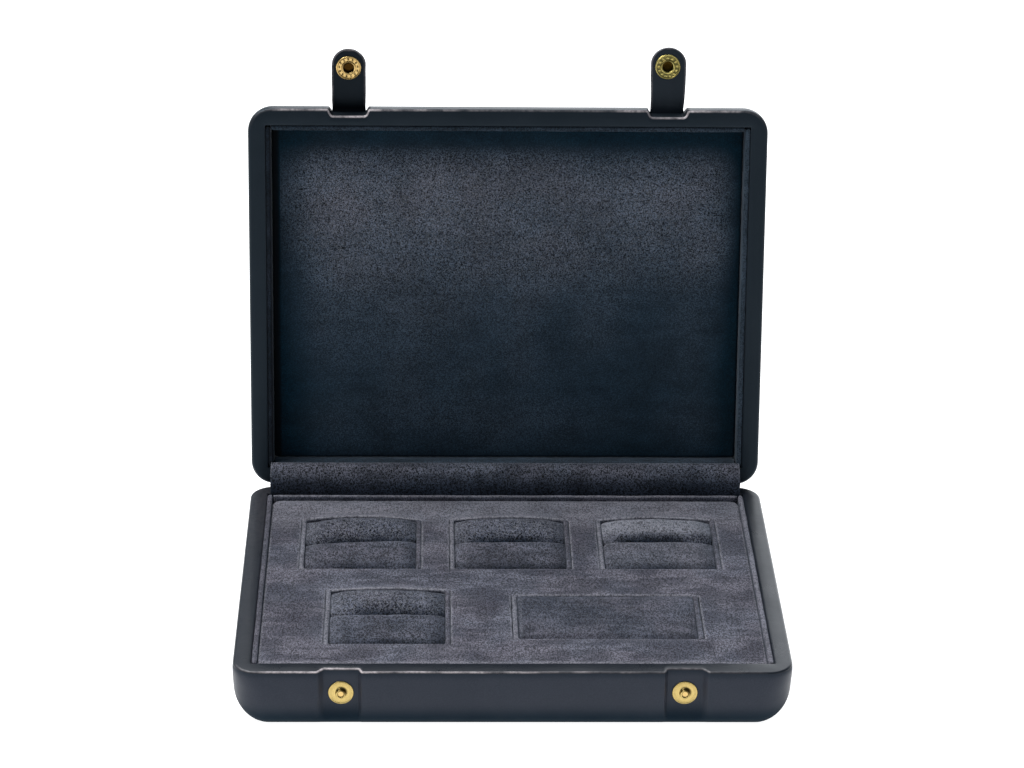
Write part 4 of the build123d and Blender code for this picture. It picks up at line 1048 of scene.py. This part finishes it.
# ------------------------------------------------------------------ hinge gusset and spine
def gusset():
    """One suede sheet from the base's back wall up to the lid's hinge edge."""
    path = [(71.65, 20.0 + 0.8 * i) for i in range(8)]
    p0, p1, p2 = np.array((71.65, 26.4)), np.array((74.4, 32.72)), np.array((81.68, 35.14))
    ax, ay, bx, by, cx, cy = *p0, *p1, *p2
    d = 2 * (ax * (by - cy) + bx * (cy - ay) + cx * (ay - by))
    ux = ((ax * ax + ay * ay) * (by - cy) + (bx * bx + by * by) * (cy - ay) + (cx * cx + cy * cy) * (ay - by)) / d
    uy = ((ax * ax + ay * ay) * (cx - bx) + (bx * bx + by * by) * (ax - cx) + (cx * cx + cy * cy) * (bx - ax)) / d
    R = math.hypot(ax - ux, ay - uy)
    a0, a2 = math.atan2(ay - uy, ax - ux), math.atan2(cy - uy, cx - ux)
    while a2 > a0:
        a2 -= 2 * math.pi
    m = 22
    path += [(ux + R * math.cos(a0 + (a2 - a0) * i / m), uy + R * math.sin(a0 + (a2 - a0) * i / m)) for i in range(m + 1)]
    path = np.array(path)
    t = np.gradient(path, axis=0)
    t /= np.linalg.norm(t, axis=1)[:, None]
    nrm = np.column_stack([-t[:, 1], t[:, 0]])       # towards the viewer's side
    length = float(np.linalg.norm(np.diff(path, axis=0), axis=1).sum())
    s = np.concatenate([[0], np.cumsum(np.linalg.norm(np.diff(path, axis=0), axis=1))]) / length
    xs = np.array(steps(-96.9, 96.9, 1.5, (0.0, 0.15, 0.4, 0.8, 1.4)))
    rows = []
    wear = []
    body = smooth((s - 0.33) / 0.25) * (1 - smooth((s - 0.86) / 0.14))
    for x in xs:
        base = np.array([(x, p[0], p[1]) for p in path])
        amp = 0.42 * wob(base * (1, 0.6, 0.6), 30.0, 120.0) + 0.16 * wob(base, 9.0, 123.0)
        amp = amp - 0.75 * math.exp(-((x + 76.0) / 10.0) ** 2) * np.exp(-((s - 0.75) / 0.16) ** 2)
        p = path + nrm * (amp * body)[:, None]
        end = min(x + 96.9, 96.9 - x)
        fray = (0.22 * wob(base, 1.4, 130.0) + 0.12 * wob(base, 0.7, 133.0)) * (1.0 if end < 0.3 else 0.0)
        rows.append(np.column_stack([x + fray, p]))
        wear.append(np.maximum(0.75 * math.exp(-(end / 0.45) ** 2), 0.55 * np.exp(-((1 - s) / 0.022) ** 2)))
    nx, ns = len(xs), len(path)
    mid = np.concatenate(rows)
    nn = np.tile(np.column_stack([np.zeros(ns), nrm]), (nx, 1))
    th = 0.28
    front, back = mid + nn * th, mid - nn * th
    v = np.concatenate([front, back])
    k = nx * ns
    faces = []
    for i in range(nx - 1):
        for j in range(ns - 1):
            a, b, c, d2 = i * ns + j, (i + 1) * ns + j, (i + 1) * ns + j + 1, i * ns + j + 1
            faces += [(a, b, c, d2), (k + d2, k + c, k + b, k + a)]
    ring_ = [i * ns for i in range(nx)] + [(nx - 1) * ns + j for j in range(1, ns)] + \
            [i * ns + ns - 1 for i in range(nx - 2, -1, -1)] + [j for j in range(ns - 2, 0, -1)]
    faces += [(ring_[j], ring_[(j + 1) % len(ring_)], k + ring_[(j + 1) % len(ring_)], k + ring_[j]) for j in range(len(ring_))]
    w = np.tile(np.concatenate(wear), 2)
    # painted shade: the gusset darker towards the bottom
    dark = np.tile(0.9 * (1 - smooth((s - 0.42) / 0.42)), nx * 2)
    ob = make("hinge_gusset_suede", v, faces, "suede_gusset", "suede_gusset", None, ("hinge_gusset",), wear=w, shade=dark)
    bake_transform(ob)
    return ob


gusset()


def spine():
    """The leather strip that is the hinge, skived thin at its long edges."""
    pts = [(79.42, z) for z in np.linspace(12.0, 24.0, 13)] + [(79.44, 24.5), (79.50, 24.95)]
    n0 = len(pts)
    lidp = lid_pts([(0, 79.42, w) for w in (0.2, 0.9, 1.6, 2.6, 3.6, 4.6, 5.6, 6.6, 7.6, 8.6, 9.0)])
    pts += [(q[1], q[2]) for q in lidp]
    path = np.array(pts)
    t = np.gradient(path, axis=0)
    t /= np.linalg.norm(t, axis=1)[:, None]
    nrm = np.column_stack([t[:, 1], -t[:, 0]])       # outwards
    s = np.concatenate([[0], np.cumsum(np.linalg.norm(np.diff(path, axis=0), axis=1))])
    L = s[-1]
    thick = 0.70 * (0.35 + 0.65 * smooth(np.minimum(s, L - s) / 2.0))
    xs = np.array(steps(-94.0, 94.0, 2.5, (0.0, 0.15, 0.4, 0.9, 1.8)))
    front, back, wear = [], [], []
    for x in xs:
        end = min(x + 94.0, 94.0 - x)
        th = thick * (0.35 + 0.65 * smooth(end / 1.5))
        base = np.array([(x, p[0], p[1]) for p in path])
        bulge = 0.05 * wob(base, 14.0, 140.0)
        out = path + nrm * (th - 0.35 + bulge)[:, None]
        inn = path - nrm * 0.35
        front.append(np.column_stack([np.full(len(path), x), out]))
        back.append(np.column_stack([np.full(len(path), x), inn]))
        wear.append(0.25 * np.maximum(np.exp(-(np.minimum(s, L - s) / 0.5) ** 2), math.exp(-(end / 0.5) ** 2)))
    v = np.concatenate(front + back)
    nx, ns = len(xs), len(path)
    k = nx * ns
    faces = []
    for i in range(nx - 1):
        for j in range(ns - 1):
            a, b, c, d = i * ns + j, (i + 1) * ns + j, (i + 1) * ns + j + 1, i * ns + j + 1
            faces += [(a, b, c, d), (k + d, k + c, k + b, k + a)]
    ring_ = [i * ns for i in range(nx)] + [(nx - 1) * ns + j for j in range(1, ns)] + \
            [i * ns + ns - 1 for i in range(nx - 2, -1, -1)] + [j for j in range(ns - 2, 0, -1)]
    faces += [(ring_[j], ring_[(j + 1) % len(ring_)], k + ring_[(j + 1) % len(ring_)], k + ring_[j]) for j in range(len(ring_))]
    ob = make("hinge_spine_leather", v, faces, "leather", "leather", None, ("hinge_spine",), wear=np.tile(np.concatenate(wear), 2))
    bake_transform(ob)
    return ob


spine()


# ------------------------------------------------------------------ straps
def strap_pts(side, x, s, h):
    """x across, s out from the bend line, h through the thickness (from the inner face), on the strap as it stands."""
    x, s, h = (np.asarray(q, float) for q in (x, s, h))
    b = LEAN[side] * smooth((s + 1.5) / 3.0)
    y = -77.0 - s * np.cos(b) - h * np.sin(b)
    w = 7.9 - s * np.sin(b) + h * np.cos(b)
    sx = -SNAP_X if side == "left" else SNAP_X
    return lid_pts(np.column_stack([sx + x, y, w]))


def strap(side):
    seed = 150.0 if side == "left" else 170.0
    ss = list(np.linspace(-4.7, -2.0, 5)) + list(np.linspace(-1.6, 2.4, 13)) + list(np.linspace(3.2, 14.6, 17)) + list(np.linspace(15.0, 19.2, 13))
    ss += [19.3 + 6.7 * math.sin(math.radians(a)) for a in (4, 10, 17, 25, 33, 41, 49, 57, 64, 70, 75, 79.5, 83, 86)] + [19.3 + 6.68, 19.3 + 6.7]
    rings, wear, shade = [], [], []
    for s in ss:
        full = 6.85 + (0.35 if side == "right" else 0.05) * float(smooth((s - 2.0) / 14.0))
        hw = full if s <= 19.3 else full * math.sqrt(max(1 - ((s - 19.3) / 6.72) ** 2, 0.0009))
        hw -= 0.10 * math.exp(-((s - 1.0) / 1.6) ** 2)                 # drawn in a little at the fold
        t0, t1 = 0.2, 2.0
        if s > 25.6:
            q = (s - 25.6) / 0.4
            t0, t1 = 0.2 + 0.35 * q, 2.0 - 0.35 * q
        e = min(0.55, hw * 0.6)
        prof = []
        inner = np.linspace(-hw + e, hw - e, 31)
        for x in inner:
            f = 1 - (x / hw) ** 2
            dent = 0.10 * math.exp(-(x / 1.0) ** 2) * math.exp(-((s - 6.0) / 5.0) ** 2)       # faint crease in the middle
            edge = 0.10 * math.exp(-((abs(x) - hw + 1.15) / 0.28) ** 2) if hw > 3 else 0.0    # creased line along the edge
            well = 1.45 * float(smooth((2.95 - math.hypot(x, s - 18.3)) / 0.5))               # room for the socket's bore
            prof.append((x, t0 + dent + edge + well))
        for a in (30, 60, 90, 120, 150):
            a = math.radians(a - 90)
            prof.append((hw - e + e * math.cos(a), (t0 + t1) / 2 + ((t1 - t0) / 2) * math.sin(a)))
        for x in inner[::-1]:
            prof.append((x, t1))
        for a in (30, 60, 90, 120, 150):
            a = math.radians(90 + a)
            prof.append((-hw + e + e * math.cos(a), (t0 + t1) / 2 + ((t1 - t0) / 2) * math.sin(a)))
        prof = np.array(prof)
        pts = strap_pts(side, prof[:, 0], np.full(len(prof), s), prof[:, 1])
        pts[:, 0] += 0.10 * wob(np.array([[0.0, s, 0.0]]), 6.0, seed)[0] + (0.35 if side == "right" else 0.0) * float(smooth((s + 1.0) / 9.0))
        rings.append(pts)
        w = np.zeros(len(prof))
        w[31:36] = w[67:72] = 0.16
        w[[0, 30]] = 0.12
        if s > 25.4:
            w[:] = 0.15
        wear.append(w * smooth((s - 0.5) / 2.0))
        # painted shade: darker near the fold, where the strap goes into the lid's notch
        shade.append(np.full(len(prof), 0.6 * (1 - smooth((s - 1.0) / 9.0))))
    v = np.concatenate(rings)
    n = len(rings[0])
    faces = loft_faces(len(rings), n, cap0=True, cap1=True)
    # the root's glued end, behind the wall
    ob = make("strap_" + side + "_leather", v, faces, "strap_" + side, "leather", None,
              ("strap_root_" + side, "strap_tab_" + side), wear=np.concatenate(wear), shade=np.concatenate(shade))
    c = strap_pts(side, [0], [0.0], [0.0])[0]
    out = np.array([0.0, -CA, SA])                    # the lid's outward direction along its front wall's normal
    out = -np.array([0.0, CA, -SA])
    a, b = (c - out * 1.1) * MM, (c + out * 1.3) * MM
    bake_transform(ob)
    return ob


for side in ("left", "right"):
    strap(side)


# ------------------------------------------------------------------ snaps
def lathe(name, prof, place, mat, slot, body, swap, n=96, relief=None, shade=None):
    """Turns a profile of (radius, height) about its axis; relief and shade go by radius, height and angle."""
    a = 2 * math.pi * np.arange(n) / n
    rings, dark = [], []
    for r, h in prof:
        up = relief(r, a) if relief else 0.0
        rings.append(place(np.column_stack([r * np.cos(a), r * np.sin(a), np.full(n, h) + up])))
        dark.append(shade(r, h, a) if shade else np.zeros(n))
    return make(name, np.concatenate(rings), loft_faces(len(rings), n, cap0=True, cap1=True), mat, slot, body, swap,
                shade=np.concatenate([np.broadcast_to(d, (n,)) for d in dark]))


def arc_prof(c, r, a0, a1, k):
    return [(c[0] + r * math.cos(math.radians(a0 + (a1 - a0) * i / k)), c[1] + r * math.sin(math.radians(a0 + (a1 - a0) * i / k))) for i in range(k + 1)]


def marks(r, a):
    """Small stamped marks round the socket, round and long ones in turn, 0..1."""
    total = np.zeros(len(a))
    if not 2.9 < r < 4.5:
        return total
    for k in range(13):
        da = (a - 2 * math.pi * (k + 0.3) / 13 + math.pi) % (2 * math.pi) - math.pi
        wide, tall = ((0.40, 0.34), (0.26, 0.50), (0.34, 0.42))[k % 3]
        total += np.exp(-((da * 3.7) / wide) ** 2 - ((r - 3.72) / tall) ** 2)
    return total


for side in ("left", "right"):
    sx = -SNAP_X if side == "left" else SNAP_X
    body = "strap_" + side
    metal = "brass" if side == "left" else "brass_right"
    sign = -1.0 if side == "left" else 1.0

    def on_strap(p, side=side):
        return strap_pts(side, p[:, 0], 18.3 + p[:, 1], 0.2 - p[:, 2])

    def behind(p, side=side):
        return strap_pts(side, p[:, 0], 18.3 + p[:, 1], 2.0 + p[:, 2])

    def on_base(p, sx=sx):
        return np.column_stack([sx + 0.965 * p[:, 0], -76.2 - p[:, 2], STUD_Z + 0.965 * p[:, 1]])

    def socket_shade(r, h, a, side=side):
        # painted shade in the bore, darkest at the bottom
        if r < 2.1:
            return np.full(len(a), (0.35 if h > 0.12 else 0.80) if h > -0.5 else 1.0)
        # the left socket's stamped marks darker, tarnish; the right socket's flat ring darker than its raised marks
        if 2.95 < r < 4.5:
            m = np.clip(marks(r, a), 0, 1)
            return 0.10 + 0.90 * m if side == "left" else 0.60 - 0.60 * m
        if r > 4.4:                                  # painted highlight: the outer bead left bright at the upper left, painted darker elsewhere
            return np.clip(0.24 - 0.34 * np.cos(a - math.radians(125)), 0, 0.6)
        return np.clip(0.30 - 0.50 * np.cos(a + math.radians(65)), 0, 0.75)      # painted highlight: the inner bead left bright at the lower right, painted darker elsewhere

    socket = [(3.0, -1.2), (3.0, -0.05), (4.9, -0.05), (5.06, 0.06)]
    socket += arc_prof((4.74, 0.21), 0.33, -10, 165, 10)
    socket += [(4.36, 0.22), (4.28, 0.16)] + [(r, 0.15) for r in (4.15, 4.02, 3.9, 3.78, 3.66, 3.54, 3.42, 3.3, 3.18, 3.06)] + [(2.98, 0.17)]
    socket += arc_prof((2.56, 0.20), 0.42, 5, 178, 12)
    socket += [(2.08, 0.05), (2.04, -0.15), (2.03, -0.45), (2.03, -0.75), (2.02, -0.92), (1.92, -1.06), (1.2, -1.11), (0.6, -1.12), (0.12, -1.12)]
    lathe("snap_socket_" + side + "_brass", socket, on_strap, metal, "brass", body, ("snap_socket_" + side,), n=180,
          relief=lambda r, a, sign=sign: sign * (0.16 if sign < 0 else 0.24) * marks(r, a), shade=socket_shade)
    cap = [(1.9, -0.45), (2.0, -0.1), (4.9, -0.05), (5.25, 0.0)] + arc_prof((4.95, 0.33), 0.33, -20, 80, 6)
    cap += [(4.6, 0.72), (4.1, 0.74), (3.5, 0.80), (2.6, 0.90), (1.6, 0.96), (0.7, 0.99), (0.2, 1.0)]
    lathe("snap_cap_" + side + "_brass", cap, behind, "brass_stud", "brass", body, ("snap_cap_" + side,))
    stud = [(1.2, -0.9), (1.6, -0.05), (4.7, -0.05), (4.9, 0.0)] + arc_prof((4.68, 0.13), 0.27, -20, 150, 8)
    stud += [(4.2, 0.30), (3.8, 0.28), (3.3, 0.27), (2.8, 0.27), (2.45, 0.29), (2.16, 0.40), (1.98, 0.68), (1.90, 1.0), (1.92, 1.25)]
    stud += arc_prof((1.58, 1.50), 0.38, -25, 150, 9)
    stud += [(1.22, 1.55), (1.12, 1.25), (1.06, 0.85), (0.98, 0.5), (0.84, 0.30), (0.6, 0.22), (0.35, 0.26), (0.12, 0.30)]

    def stud_shade(r, h, a):
        # painted shade: a dark crescent in the knob's hollow at the upper right
        if r < 1.2 and h < 1.4:
            side_ = 0.5 + 0.5 * np.cos(a - math.radians(35))
            return np.clip(0.15 + 0.80 * side_ * (1.0 if r > 0.5 else 0.4), 0, 0.95)
        # painted shadow beside the knob at the upper right
        if r < 2.6:
            return np.clip(0.85 * np.cos(a - math.radians(52)), 0.0, 0.8)
        return np.full(len(a), 0.20 if 3.7 < r < 4.3 else 0.06)

    lathe("snap_stud_" + side + "_brass", stud, on_base, "brass_stud", "brass", "base", ("snap_stud_" + side,), n=120, shade=stud_shade)

# ------------------------------------------------------------------ CAD nodes that stay as they are
KEEP = {"core": ("lid_core",), "grey": ("insert_board", "lid_panel_board"), "foam": ("insert_block",),
        "brass": ("stud_rivet_left", "stud_rivet_right"), "spring": ("snap_spring_left", "snap_spring_right")}
for mat, names in KEEP.items():
    for nm in names:
        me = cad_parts[nm].data
        me.materials.clear()
        me.materials.append(M[mat])


# ------------------------------------------------------------------ floor, light, world
def floor():
    me = bpy.data.meshes.new("floor")
    n, size = 24, 6.0
    v = [((i / n - 0.5) * size, (j / n - 0.35) * size, -0.0002) for i in range(n + 1) for j in range(n + 1)]
    f = [(i * (n + 1) + j, (i + 1) * (n + 1) + j, (i + 1) * (n + 1) + j + 1, i * (n + 1) + j + 1) for i in range(n) for j in range(n)]
    me.from_pydata(v, [], f)
    net = Net("pale_floor")
    t = net.rng(net.noise(0.004, 3.0, 0.5), 0.3, 0.7)
    me.materials.append(net.done(Base_Color=net.mix(t, (0.50, 0.50, 0.505), (0.52, 0.52, 0.52)), Roughness=0.9, Specular_IOR_Level=0.1,
                                 Emission_Color=(1.0, 1.0, 1.0), Emission_Strength=0.98))
    ob = bpy.data.objects.new("floor", me)
    bpy.context.scene.collection.objects.link(ob)


def light(name, at, to, size, power, colour=(1, 1, 1), size_y=None):
    li = bpy.data.lights.new(name, "AREA")
    li.shape = "RECTANGLE"
    li.size, li.size_y = size, size_y or size
    li.energy = power
    li.color = colour
    ob = bpy.data.objects.new(name, li)
    ob.location = at
    ob.rotation_euler = (Vector(to) - Vector(at)).to_track_quat("-Z", "Y").to_euler()
    bpy.context.scene.collection.objects.link(ob)


floor()
light("key", (-0.75, 0.1, 1.3), (0, 0.0, 0.05), 0.8, 20.0, (1.0, 0.985, 0.965))
light("top", (-0.1, 0.85, 1.45), (0, 0.0, 0.05), 1.9, 18.0, (0.97, 0.985, 1.0), size_y=1.2)
light("back", (0.85, 2.1, 0.75), (0.1, 0.0, 0.1), 2.3, 20.0, (0.97, 0.985, 1.0), size_y=1.5)
world = bpy.data.worlds.new("studio")
bpy.context.scene.world = world
world.use_nodes = True
world.node_tree.nodes["Background"].inputs[0].default_value = (0.72, 0.86, 1.0, 1.0)
world.node_tree.nodes["Background"].inputs[1].default_value = 0.30
bpy.context.scene.view_settings.view_transform = "Standard"
bpy.context.scene.view_settings.look = "None"
